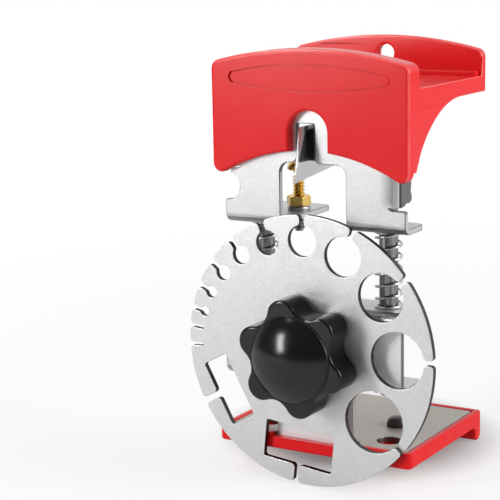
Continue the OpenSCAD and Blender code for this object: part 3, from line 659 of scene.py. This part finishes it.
# The crown's profile: its wall, the thin ridge and the dome
crown = [(0, -9), (14.1, -9), (14.1, -11.4), (13.95, -11.6), (13.7, -11.62), (13.56, -11.5)]
crown += [(r, crown_tip + ball - v) for r, v in arc(0, 0, ball, 90 - dome_turn, 90, 20)][:-1] + [(0, crown_tip)]
shape(knob, turned("crown", crown, (0, 0, 0), "Y", 96, black), "UNION")
shape(knob, bore(6.04, (0, 0, 0), "Y", -9.2, 0), "DIFFERENCE")


def black_grip():
    """The same black plastic where the mould left it matt for the fingers."""
    finish, where = finish_of("black_knob_grip")
    cloud = where.grain(120, 3)
    skin = where.grain(2400, 2)
    coat(where, {
        "Base Color": cloud.between((0.004, 0.004, 0.005), (0.010, 0.010, 0.011)),
        "Roughness": 0.30 + 0.10 * (skin - 0.5),
        "Normal": skin.relief(0.00008, 0.2),
        "IOR": 1.22,
    })
    return finish


paint(knob, [black_grip()], lambda m, n: int(abs(n.y) < 0.35 and m.y > -10.9))
set_in(knob, "knob", "black_plastic", "star_knob")


def threaded(name, d, pitch, start, end, middle, axis, finish, ease=0.5, plain=()):
    """A bolt's shank with a rolled thread from start to end, and plain (radius, length) points before it."""
    core = d / 2 - 0.6 * pitch
    profile = (list(plain) or [(0, start)]) + [(core, start)]
    count = int((end - start - 2 * ease) / pitch)
    for k in range(count):
        low = start + ease + k * pitch
        profile += [(core, low), (d / 2, low + 0.4 * pitch), (d / 2, low + 0.6 * pitch)]
    profile += [(core, start + ease + count * pitch), (core, end - 0.2), (core - 0.3, end), (0, end)]
    return turned(name, profile, middle, axis, 40, finish)


stud = threaded("knob_stud", 6, 1.0, 4.5, 15, (0, 0, 0), "Y", plated,
                plain=[(0, -9.2), (3, -9.2), (3, 4.4)])
set_in(stud, "knob", "dark_steel", "knob_bolt")
washer = turned("knob_flat_washer", ring(bolt_hole / 2, 8, -0.8, 0, 0.15), (0, 0, 0), "Y", 64, plated)
set_in(washer, "washer", "dark_steel", "knob_washer")

# Bent head: the upper piece of 2 mm sheet steel. Its front plate has a gate and a slot for the blade, the feet are
# folded back over the springs, a roof is folded back under the palm rest, and two flanges stiffen its sides.

foot_out, foot_in, foot_under, fold_top = 32.2, 11.8, 38.8, 42
plate_side, ear_top, gate_top, slot_top, roof_top = 26.6, 46.4, 59.4, 71.9, 80.7
# The places of the depth screw and of the posts of the handle
stop_spot = (-16, 24.5, 0)
stakes = [(x, y, 0) for x in (-20.3, 20.3) for y in (36.1, 46.1)]
# The outline, with a radius for each corner: left ear and notch, top, right ear, gate and slot
front = [(-foot_out, fold_top, 0), (-foot_out, ear_top, 0.8)]
front += [(x, z, 0) for x, z in arc(-31.1, 50.8, 4.4, -90, 75.5, 16)]
front += [(-30, 56.6, 0.6), (-plate_side, 56.6, 0.3), (-plate_side, 77.4, 0), (plate_side, 77.4, 0)]
front += [(plate_side, 46.9, 0.4), (27.6, ear_top, 0), (foot_out, ear_top, 0.8), (foot_out, fold_top, 0)]
front += [(foot_in, fold_top, 0), (foot_in, gate_top, 3.2), (1.0, gate_top, 1.6), (1.0, slot_top, 0.5)]
front += [(-5.4, slot_top, 0.5), (-5.4, gate_top, 2.4), (-foot_in, gate_top, 3.2), (-foot_in, fold_top, 0)]
head = slab("bent_head", [(x, sheet_front, z) for x, z in round_corners(front, 0)], (0, sheet, 0), sheet_skin)


def foot(name, x0, x1, back):
    """A foot of the head: the fold below the front plate and the sheet behind it, with rounded free corners."""
    piece = folded(name, foot_under, 42.5, back, x0, x1, True)
    return round_off(piece, 2.4, 6, lambda m, turn: (
        turn > 60 and abs(m.y - back) < 0.1 and min(m.x - x0, x1 - m.x) < 0.1))


shape(head, foot("right_foot", foot_in, foot_out, 18.8), "UNION")
shape(head, foot("left_foot", -foot_out, -foot_in, 39), "UNION")
shape(head, folded("roof", roof_top, 77, 56, -32.3, 32.3, False), "UNION")
# The flanges are bent back at the sides of the front plate and end below in a waved edge
flange_in, flange_top, flange_back = 28, 79, 14
for s, low in ((1, 47.2), (-1, 57.2)):
    bend = [(25, sheet_front)] + arc(27.4, 7.6, 2.6, -90, 0, 8) + [(flange_in + sheet, 8.2), (flange_in, 8.2)]
    bend += arc(27.4, 7.6, 0.6, 0, -90, 6) + [(25, sheet_front + sheet)]
    bend = slab("bend", [(x * s, y, low) for x, y in bend], (0, 0, flange_top - low), sheet_skin)
    shape(head, bend, "UNION")
    wave = [(8, flange_top), (8, low), (9.4, low + 0.2), (10.4, low + 0.9), (12.6, low + 0.8), (14.3, low + 1.5),
            (14.3, low + 3.0), (13.5, low + 4.4), (flange_back, low + 7.2), (flange_back, flange_top)]
    wave = round_corners(wave, 0.9, 4)
    shape(head, slab("flange", [(flange_in * s, y, z) for y, z in wave], (sheet * s, 0, 0), sheet_skin), "UNION")
shape(head, turned("tap", ring(2.05, 3.8, 40.5, 42.4, 0.35), stop_spot, "Z", 48, sheet_skin), "UNION")
shape(head, bore(4.1, stop_spot, "Z", 38, 43), "DIFFERENCE")
for spot in rods:
    shape(head, bore(6.04, spot, "Z", 38, 42), "DIFFERENCE")
for spot in stakes:
    shape(head, bore(4.04, spot, "Z", 78, 82), "DIFFERENCE")
clean(head)
round_off(head, 0.28, 2)


def head_finish(m, n):
    """1 on cut edges, and as painted shade on the flanges, 2, a painted shade, on the fold of the feet and the tap, 3
    on the front, 4, a dark painted shade, in the crease of the right flange and else 0.
    """
    flange = abs(n.x) > 0.8 and abs(m.x) > 27.5 and m.y > 5.5 and m.z > 47
    if flange and 0 < n.x < 0.98 and m.x > 0:
        return 4
    # The flat outer sides of the feet go by left and right: their middles lie close to the limit of 41
    if abs(n.x) > 0.999 and abs(m.x) > foot_out - 0.05 and m.z < ear_top:
        return int(m.x < 0)
    beside = m.z > 46.8 and abs(m.x) > 26.7
    rim_of_front = 4.9 < m.y < 7.1 and abs(n.y) < 0.95 and 41 < m.z < 77 and not beside
    rim_of_feet = m.z < 41 and (abs(n.x) > 0.8 or n.y > 0.3 and m.y > 12)
    if flange or rim_of_front or rim_of_feet:
        return 1
    tap = 40.85 < m.z < 42.5 and math.hypot(m.x - stop_spot[0], m.y - stop_spot[1]) < 4
    if tap or n.z < -0.35 and m.z < 42 and m.y < 8.2:
        return 2
    return 3 if n.y < -0.97 and m.y < 5.1 and m.z > 41 else 0


# The front plate goes dark right of 23.4 mm and above 47 mm: painted shade next to the bend of the right flange
front_skin = satin_steel("sheet_steel_front", (0.53, 0.53, 0.535), (0.71, 0.71, 0.715),
                         rough=0.37, grit=0.26, scale=2300, metal=0.68, shade_past=(23.4, 47))
paint(head, [cut_edge_and_flange_shade, fold_shade, front_skin, punched_edge_and_crease_shade], head_finish)
set_in(head, "carriage", "sheet_steel", "blade_bracket")

# Blade and its clamp: a hardened blade ground on its right side to a sharp front and lower edge, held against an
# upright cheek behind the front plate by a screw, a washer and a nut.


def bare_metal(name, cloud, fine, share, low, high, rough, uneven, lift):
    """Bare metal with a cloud and a fine grain, which may be drawn out to lines. The cloud has a share of the colour,
    uneven is how far both sway the roughness, and lift is the relief of the fine grain."""
    finish, where = finish_of(name)
    cloud, fine = where.grain(*cloud), where.grain(*fine)
    coat(where, {
        "Base Color": (share * cloud + (1 - share) * fine).between(low, high),
        "Metallic": 1.0,
        "Roughness": rough + uneven[0] * (cloud - 0.5) + uneven[1] * (fine - 0.5),
        "Normal": fine.relief(*lift),
    })
    return finish


# Hardened steel with fine grinding lines across it
blade_steel = bare_metal("ground_blade_steel", cloud=(160, 2), fine=(420, 3, (1, 5, 1)), share=0.4,
                         low=(0.62, 0.62, 0.63), high=(0.86, 0.86, 0.87), rough=0.24, uneven=(0.08, 0.14),
                         lift=(0.00004, 0.25))
edge_side = [(-3.4, 54.0), (0.0, 71.4), (24, 71.4), (24, 56.6)]
flat_side = [(-2.1, 60.6), (2.4, 70.0), (24, 70.9), (24, 59.9)]
blade_left, blade_right = -1.8, -0.8
clamp_spot, clamp_hole = (0, 14, 65.9), 4.04
blade = slab("ground_blade", [(blade_left, y, z) for y, z in edge_side], (1, 0, 0), blade_steel)
for point in blade.data.vertices:
    spot = in_mm(point.co)
    if spot.x > -1:
        near = min(range(4), key=lambda i: (Vector((spot.y, spot.z)) - Vector(edge_side[i])).length)
        point.co = at(blade_right, *flat_side[near])
    else:
        point.co = at(blade_left, spot.y, spot.z)
# The ground front has two facets, which meet on a line from the upper tip to the lower corner
alone(blade)
bpy.ops.object.mode_set(mode="EDIT")
bpy.ops.mesh.select_mode(type="VERT")
bpy.ops.mesh.select_all(action="DESELECT")
mesh = bmesh.from_edit_mesh(blade.data)
tip, heel = Vector((blade_left, *edge_side[1])), Vector((blade_right, *flat_side[0]))
for point in mesh.verts:
    spot = in_mm(point.co)
    point.select_set(min((spot - tip).length, (spot - heel).length) < 0.05)
bmesh.update_edit_mesh(blade.data)
bpy.ops.mesh.vert_connect_path()
bpy.ops.object.mode_set(mode="OBJECT")
# The right flat side and the top of the blade are painted near black, and its lower front facet dark grey: painted
# shade
blade_flat_shade = satin_steel("blade_flat_painted_shade", (0.08, 0.08, 0.085), (0.20, 0.20, 0.21),
                         rough=0.34, grit=0.25, scale=900)
blade_facet_shade = satin_steel("blade_facet_painted_shade", (0.15, 0.15, 0.155), (0.24, 0.24, 0.245),
                         rough=0.36, grit=0.2, scale=1500)
blade.data.materials.append(blade_flat_shade)
blade.data.materials.append(blade_facet_shade)
for face in blade.data.polygons:
    shaded_facet = len(face.vertices) == 3 and min(in_mm(blade.data.vertices[i].co).z for i in face.vertices) < 54.5
    face.material_index = 1 if face.normal.x > 0.995 or face.normal.z > 0.8 else 2 if shaded_facet else 0
shape(blade, bore(clamp_hole, clamp_spot, "X", -4, 2), "DIFFERENCE")
round_off(blade, 0.06, 1, least=20)
set_in(blade, "carriage", "blade_steel", "blade")
cheek = [(7, 59.9, 0.6), (31, 59.9, 5), (31, 78.7, 0.6), (8.9, 78.7, 0.4), (7, 76.8, 0.4)]
cheek = [(blade_right, y, z) for y, z in round_corners(cheek, 1)]
cheek = slab("blade_cheek", cheek, (sheet, 0, 0), sheet_skin, cut_edge_and_flange_shade)
shape(cheek, bore(clamp_hole, clamp_spot, "X", -4, 3), "DIFFERENCE")
round_off(cheek, 0.25, 2)
set_in(cheek, "carriage", "sheet_steel", "blade_holder")
clamp = threaded("clamp_screw", 4, 0.7, 1.5, 6.7, clamp_spot, "X", plated,
                 plain=[(0, -3.3), (1.6, -3.75), (3.0, -3.55), (3.8, -2.8), (4, -1.8), (2, -1.8), (2, 1.4)])
shape(clamp, block("slot", (-4.5, 13.5, 61), (-2.9, 14.5, 71)), "DIFFERENCE")
round_off(clamp, 0.1, 2, lambda m, turn: m.x < -2.7 and turn > 60)
set_in(clamp, "carriage", "dark_steel", "blade_screw")
shim = turned("clamp_washer", ring(2.02, 4.5, 1.2, 2.0, 0.15), clamp_spot, "X", 48, plated)
set_in(shim, "carriage", "dark_steel", "blade_washer")
clamp_nut = hexagon_nut("clamp_nut", 6.93, 2.0, 5.2, clamp_hole, clamp_spot, "X", 0, plated)
set_in(clamp_nut, "carriage", "dark_steel", "blade_nut")

# Guide rods: two 6 mm drawn steel rods pressed into the feet of the head. They slide in the shelf and the tabs of
# the stand, and a turned collar on each foot and a clip under each tab hold them.

# Bright drawn bar with faint lines along it
rod_steel = bare_metal("drawn_rod_steel", cloud=(120, 3), fine=(900, 3, (1, 1, 0.02)), share=0.4,
                       low=(0.13, 0.13, 0.135), high=(0.38, 0.38, 0.39), rough=0.15, uneven=(0.06, 0.10),
                       lift=(0.00003, 0.2))
# The collars and the clips are coloured near black
near_black = satin_steel("near_black_steel", (0.035, 0.035, 0.037), (0.11, 0.11, 0.115), rough=0.34, grit=0.3, scale=1700)
rod = [(0, -14.2), (2.5, -14.2), (3, -13.7), (3, 53.1), (2.3, 53.8), (0, 53.8)]
left_rod = turned("left_guide_rod", rod, rods[0], "Z", 48, rod_steel)
set_in(left_rod, "carriage", "rod_steel", "guide_rod_left")
right_rod = turned("right_guide_rod", rod, rods[1], "Z", 48, rod_steel)
set_in(right_rod, "carriage", "rod_steel", "guide_rod_right")


def copied(piece, name, way):
    """A copy of the piece with its own mesh, moved by way."""
    twin = piece.copy()
    twin.data = piece.data.copy()
    bpy.context.collection.objects.link(twin)
    twin.name = twin.data.name = name
    twin.data.transform(Matrix.Translation(Vector(way) / 1000))
    return twin


def joined(first, *others):
    """The pieces as one object."""
    alone(first)
    for other in others:
        other.select_set(True)
    bpy.ops.object.join()
    return first


to_right = (rods[1][0] - rods[0][0], 0, 0)
collar = turned("rod_collars_turned", ring(3.02, 4.5, 40.8, 43.2, 0.35), rods[0], "Z", 48, near_black)
collars = joined(collar, copied(collar, "right_collar", to_right))
set_in(collars, "carriage", "dark_steel", "rod_collars")
clip = turned("rod_clips_stamped", ring(3.02, 5.2, -12.9, -12.0, 0.2), rods[0], "Z", 48, near_black)
shape(clip, block("clip_gap", (-24.4, 8, -14), (-20.2, 13.5, -11)), "DIFFERENCE")
clean(clip)
round_off(clip, 0.12, 2, lambda m, turn: turn > 60)
clips = joined(clip, copied(clip, "right_clip", to_right))
set_in(clips, "carriage", "dark_steel", "rod_clips")

# Return springs: 0.8 mm spring wire wound round each rod between the shelf and the foot, with a closed coil at each
# end. They shorten as the head is pressed down.

wire_steel = bare_metal("spring_wire_steel", cloud=(500, 3), fine=(2600, 1), share=0.6,
                        low=(0.48, 0.48, 0.49), high=(0.78, 0.78, 0.80), rough=0.22, uneven=(0.14, 0),
                        lift=(0.00003, 0.2))
# The wire's thickness, the coil's radius, the turns in a closed end and between the ends, and a closed turn's rise
wire, coil_r, closed, opened, creep = 0.8, 4.1, 0.8, 6, 0.3


def wound(name, x, y):
    """A coil of wire round the rod at x and y: a closed end of nearly one turn, open turns and a closed end."""
    bpy.ops.object.select_all(action="DESELECT")
    bpy.ops.curve.primitive_nurbs_path_add(radius=0.01)
    coil = bpy.context.object
    coil.data.splines.clear()
    line = coil.data.splines.new("POLY")
    count = 8 * 40
    line.points.add(count - 1)
    low, high = shelf_top + 0.42, foot_under - 0.42
    for i in range(count):
        turn = (2 * closed + opened) * i / (count - 1)
        rise = min(max((turn - closed) / opened, 0), 1)
        z = low + creep * min(turn, closed) + (high - low - 2 * closed * creep) * rise
        z += creep * max(turn - closed - opened, 0)
        a = math.radians(75) + 2 * math.pi * turn
        line.points[i].co = (*at(x + coil_r * math.cos(a), y + coil_r * math.sin(a), z), 1)
    coil.data.dimensions = "3D"
    coil.data.bevel_depth = wire / 2 / 1000
    coil.data.bevel_resolution = 4
    coil.data.use_fill_caps = True
    bpy.ops.object.convert(target="MESH")
    coil = dress(bpy.context.object, wire_steel)
    coil.name = coil.data.name = name
    bpy.ops.object.mode_set(mode="EDIT")
    bpy.ops.mesh.select_all(action="SELECT")
    bpy.ops.mesh.remove_doubles(threshold=weld)
    face_out()
    return coil


springs = (("left_coil", "return_spring_left"), ("right_coil", "return_spring_right"))
for (name, node), (x, y, z) in zip(springs, rods):
    coil = wound(name, x, y)
    set_in(coil, "base", "spring_steel", node)
    at(x, 13.5, 14.2)
    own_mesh(coil)

# Depth stop: a brass pan-head screw with a rolled thread in the tapped collar of the left foot, and the hexagon nut
# that locks it. Its tip meets the shelf and so limits the cut.

# Turned brass, a little dulled
brass = bare_metal("turned_brass", cloud=(260, 3), fine=(2100, 2), share=0.7, low=(0.58, 0.37, 0.07),
                   high=(0.95, 0.70, 0.23), rough=0.18, uneven=(0.14, 0.08), lift=(0.00004, 0.2))
screw = threaded("brass_stop_screw", 4, 1.05, 34, 53.9, stop_spot, "Z", brass)
pan = [(0, 53.5), (1.7, 53.5), (1.9, 54.2), (3.3, 54.2), (3.7, 54.55), (3.65, 55.4), (3.1, 56.4), (2.0, 56.9), (0, 57)]
pan = turned("pan", pan, stop_spot, "Z", 48, brass)
shape(pan, block("slot", (-20, 24.0, 55.8), (-12, 25.0, 58)), "DIFFERENCE")
round_off(pan, 0.1, 2, lambda m, turn: turn > 60 and m.z > 55.5)
shape(screw, pan, "UNION")
# The screw's end below the foot is coloured grey
grey_end = satin_steel("grey_screw_end", (0.15, 0.15, 0.148), (0.40, 0.39, 0.37), rough=0.26, grit=0.3, scale=1500)
paint(screw, [grey_end], lambda m, n: int(m.z < foot_under))
set_in(screw, "stop_screw", "brass", "depth_screw")
lock = hexagon_nut("brass_lock_nut", 7, 42.4, 45.8, 4.1, stop_spot, "Z", 16, brass)
set_in(lock, "stop_nut", "brass", "depth_lock_nut")

# Moulded handle: the red palm rest that is pressed down. Its front wall has an arch for the blade, a sunk panel and
# a thick brow above the rest, the side walls sweep back under it, and the back wall has a hole to hang it up.

handle_red = red_nylon("handle_red_nylon", rough=0.24, texture=0.09, gloss=0.31)
wall_front, wall_join, rest_top, rest_back, side = 2, 83, 83.7, 59.4, 2.6
corner_x, corner_r, toe_z, hem_r = 32, 3, 58.41, 63.6
arch_z, arch_r, crest_r, crest_drop = 69.5, 6.7, 140, 6.79
foot_turn = math.degrees(math.atan2(toe_z, corner_x))
brow_turn = math.degrees(math.atan2(crest_r - crest_drop, corner_x))
arch_foot = math.degrees(math.acos(arch_r / hem_r))
# The right half of the front wall: the arch, the hem that follows the disc, the toe and the side
right_half = arc(0, arch_z, arch_r, 90, 0, 14) + arc(0, 0, hem_r, arch_foot, foot_turn, 24)
right_half += arc(corner_x, toe_z, corner_r, foot_turn + 180, 360, 10)[1:] + [(grip_half, wall_join)]
wall = right_half[1:] + [(-x, z) for x, z in reversed(right_half[1:])] + [(0, arch_z + arch_r)]
handle = slab("moulded_handle", [(x, wall_front, z) for x, z in wall], (0, 3, 0), handle_red)


def crest(low, top):
    """Outline of a wall with a curved top and rounded upper corners."""
    out = arc(corner_x, top - crest_drop, corner_r, 0, brow_turn, 8)
    out += arc(0, top - crest_r, crest_r, brow_turn, 180 - brow_turn, 48)[1:]
    out += arc(-corner_x, top - crest_drop, corner_r, 180 - brow_turn, 180, 8)[1:]
    return out + [(-grip_half, low), (grip_half, low)]


brow = slab("brow", [(x, wall_front, z) for x, z in crest(80.9, 95.3)], (0, 7.6, 0), handle_red)
shape(handle, brow, "UNION")
rest = [(4, roof_top), (4, rest_top), (rest_back, rest_top), (rest_back, roof_top)]
rest = slab("rest", [(-grip_half, y, z) for y, z in rest], (2 * grip_half, 0, 0), handle_red)
shape(handle, rest, "UNION")
sweep = [(4, toe_z), (4, wall_join), (rest_back, wall_join), (rest_back, 78.5)] + arc(40, 41.1, 37.4, 90, 152.43, 30)
for x in (-grip_half, grip_half - side):
    shape(handle, slab("side", [(x, y, z) for y, z in sweep], (side, 0, 0), handle_red), "UNION")
shape(handle, slab("back", [(x, 56.2, z) for x, z in crest(78.5, 96.4)], (0, 3.2, 0), handle_red), "UNION")
shape(handle, bore(5.8, (0, 0, 90.4), "Y", 54, 62), "DIFFERENCE")
clean(handle)
round_off(handle, 1.1, 4, lambda m, turn: turn > 0 and m.y < 2.2)
round_off(handle, 1.3, 5, lambda m, turn: turn < 0 and m.z > 83.5 and m.y < 20)
round_off(handle, 0.9, 4, lambda m, turn: turn > 0 and m.y > 5.2 and (m.z > 84.9 or m.y > 59.3))
round_off(handle, 0.4, 3, lambda m, turn: turn > 0 and 9 < m.y < 57 and abs(m.x) > 34.9)
# A low step along the foot of the back wall
step = [(-33.6, 83.2), (33.6, 83.2), (33.6, 85.3), (-33.6, 85.3)]
step = slab("step", [(x, 54.0, z) for x, z in step], (0, 2.7, 0), handle_red)
round_off(step, 0.45, 3, lambda m, turn: m.z > 85.2 or m.y < 54.1)
shape(handle, step, "UNION")
# The sunk panel between two arcs, with round ends and a fine groove along its border
panel_half, panel_z, top_r, low_r = 26.2, 86.1, 130.8, 150.6
top_turn = math.degrees(math.asin(panel_half / top_r))
low_turn = math.degrees(math.asin(panel_half / low_r))


def panel(name, inset, depth):
    """A cutter for the panel, smaller all round by inset."""
    r = 1.98 - inset
    out = arc(0, -40.1, top_r - inset, 90 + top_turn, 90 - top_turn, 40) + arc(26.4, panel_z, r, 78, -78, 10)
    out += arc(0, 232.45, low_r - inset, 270 + low_turn, 270 - low_turn, 40) + arc(-26.4, panel_z, r, 258, 102, 10)
    return slab(name, [(x, 1, z) for x, z in out], (0, 1 + depth, 0), handle_red)


groove = shape(panel("groove", 0, 0.95), panel("field", 0.45, 2), "DIFFERENCE")
shape(handle, groove, "DIFFERENCE")
shape(handle, panel("panel", 0.2, 0.5), "DIFFERENCE")
# The parting line of the mould along each side wall
for x in (-35.2, 34.83):
    shape(handle, block("line", (x, 5.6, 77.35), (x + 0.37, 30.5, 77.62)), "DIFFERENCE")
# Four posts through the roof of the head, melted to round heads below it
post = [(0, 77.95), (1.2, 78.0), (2.8, 78.05), (3.3, 78.3), (3.5, 78.7), (2, 78.7), (2, 81.2), (0, 81.2)]
for spot in stakes:
    shape(handle, turned("post", post, spot, "Z", 32, handle_red), "UNION")


def edge_highlight_red():
    """A paler, smoother red for edges: painted highlight."""
    finish, where = finish_of("painted_highlight_red_edge")
    cloud = where.grain(140, 3)
    coat(where, {
        "Base Color": cloud.between((0.95, 0.06, 0.06), (1.0, 0.17, 0.16)),
        "Roughness": 0.16 + 0.10 * (cloud - 0.5),
        "Normal": cloud.relief(0.00004, 0.10),
        "Specular IOR Level": 0.6,
    })
    return finish


def handle_finish(m, n):
    """1, the paler red of painted highlight, on the edges of the front, the rest and the back wall."""
    front_edge = m.y < 3.2 and 0.45 < -n.y < 0.88 and (n.x > 0.4 and m.x > 20 or n.z > 0.4 and m.z > 84)
    rest_edge = 9 < m.y < 57 and 80 < m.z < 84.2 and 0.3 < n.x < 0.95 and n.z > 0.3
    back_edge = m.y > 55 and m.z > 86 and 0.3 < -n.y < 0.9 and (n.z > 0.3 or n.x > 0.3)
    return int(front_edge or rest_edge or back_edge)


paint(handle, [edge_highlight_red()], handle_finish)
set_in(handle, "carriage", "red_plastic", "top_handle")

# Studio: a white floor that touches the disc and the lip, softboxes at the left, the right and above, and a
# pale room, dark in front; the camera stands where the photograph was taken from.

lens_right = Vector((0.8539, 0.5202, -0.0191))
lens_up = Vector((-0.0826, 0.1718, 0.9817))
sight = Vector((-0.5139, 0.8366, -0.1896))
lens_spot = Vector((0.241506, -0.447506, 0.171850))
bpy.ops.object.camera_add(location=lens_spot)
camera = bpy.context.object
camera.matrix_world = Matrix.Translation(lens_spot) @ Matrix((lens_right, lens_up, -sight)).transposed().to_4x4()
camera.data.sensor_width = 36
camera.data.lens = 114.95
bpy.context.scene.camera = camera

bpy.ops.mesh.primitive_plane_add(size=4, location=(0, -0.0204, -0.0003), rotation=(math.radians(5.04), 0, 0))
floor = bpy.context.object
floor.name = "floor"
finish, where = finish_of("white_floor")
camera_ray = where.make("ShaderNodeLightPath", out="Is Camera Ray")
glossy_ray = where.make("ShaderNodeLightPath", out="Is Glossy Ray")
reach = where.make("ShaderNodeVectorMath", {"operation": "LENGTH"}, {0: where}, out=1)
far = reach.steps((0.14, 0), (0.34, 1))
# No glow under the base, so that the floor there is as dark as its shadow
under = where.make("ShaderNodeMapping", {}, {"Vector": where, "Location": (0.004, -0.046, 0), "Scale": (0.8, 1, 1)})
from_base = where.make("ShaderNodeVectorMath", {"operation": "LENGTH"}, {0: under}, out=1)
open_air = from_base.steps((0.026, 0.25), (0.042, 1))
bounce = 0.70 * (1 - camera_ray) + 0.28 * camera_ray * (1 - far)
white = where.make("ShaderNodeBsdfDiffuse", {}, {"Color": bounce})
shine = camera_ray * open_air * (0.72 + 0.28 * far) + 0.08 * glossy_ray * open_air
glow = where.make("ShaderNodeEmission", {}, {"Color": (1, 1, 1, 1), "Strength": shine})
ground = where.make("ShaderNodeAddShader", {}, {0: white, 1: glow})
where.make("ShaderNodeOutputMaterial", {}, {"Surface": ground})
floor.data.materials.append(finish)
floor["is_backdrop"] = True

room = bpy.data.worlds.new("pale_room")
bpy.context.scene.world = room
room.use_nodes = True
room.node_tree.nodes.clear()
air = Tone(room.node_tree)
seen = air.make("ShaderNodeLightPath", out="Is Camera Ray")
glossy = air.make("ShaderNodeLightPath", out="Is Glossy Ray")
way = air.make("ShaderNodeTexCoord", out="Generated")
depth = air.make("ShaderNodeSeparateXYZ", {}, {"Vector": way}, out="Y")
mirror = (0.5 + 0.5 * depth).steps((0.38, 0.05), (0.62, 0.90))
light = seen + (1 - seen) * (0.24 + glossy * (mirror - 0.24))
sky = air.make("ShaderNodeBackground", {}, {"Color": (1, 1, 1, 1), "Strength": light})
air.make("ShaderNodeOutputWorld", {}, {"Surface": sky})


def softbox(name, spot, aim, width, height, watts, roll=0):
    """A flat studio lamp at spot, facing the point aim and rolled about that line."""
    bpy.ops.object.light_add(type="AREA", location=spot)
    lamp = bpy.context.object
    lamp.name = name
    lamp.data.shape = "RECTANGLE"
    lamp.data.size = width
    lamp.data.size_y = height
    lamp.data.energy = watts
    lamp.rotation_euler = (Vector(aim) - Vector(spot)).to_track_quat("-Z", "Y").to_euler()
    lamp.rotation_euler.rotate_axis("Z", math.radians(roll))


softbox("left_softbox", (-0.47, -0.74, 0.31), (0, -0.01, 0.06), width=0.17, height=0.42, watts=4.35, roll=18)
softbox("right_softbox", (0.86, 0.16, 0.46), (0, 0, 0.06), width=0.5, height=0.6, watts=7.3)
softbox("top_softbox", (-0.48, -0.16, 0.86), (0, 0, 0.08), width=0.60, height=0.10, watts=2.2)
bpy.context.scene.view_settings.view_transform = "Standard"

low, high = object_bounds()
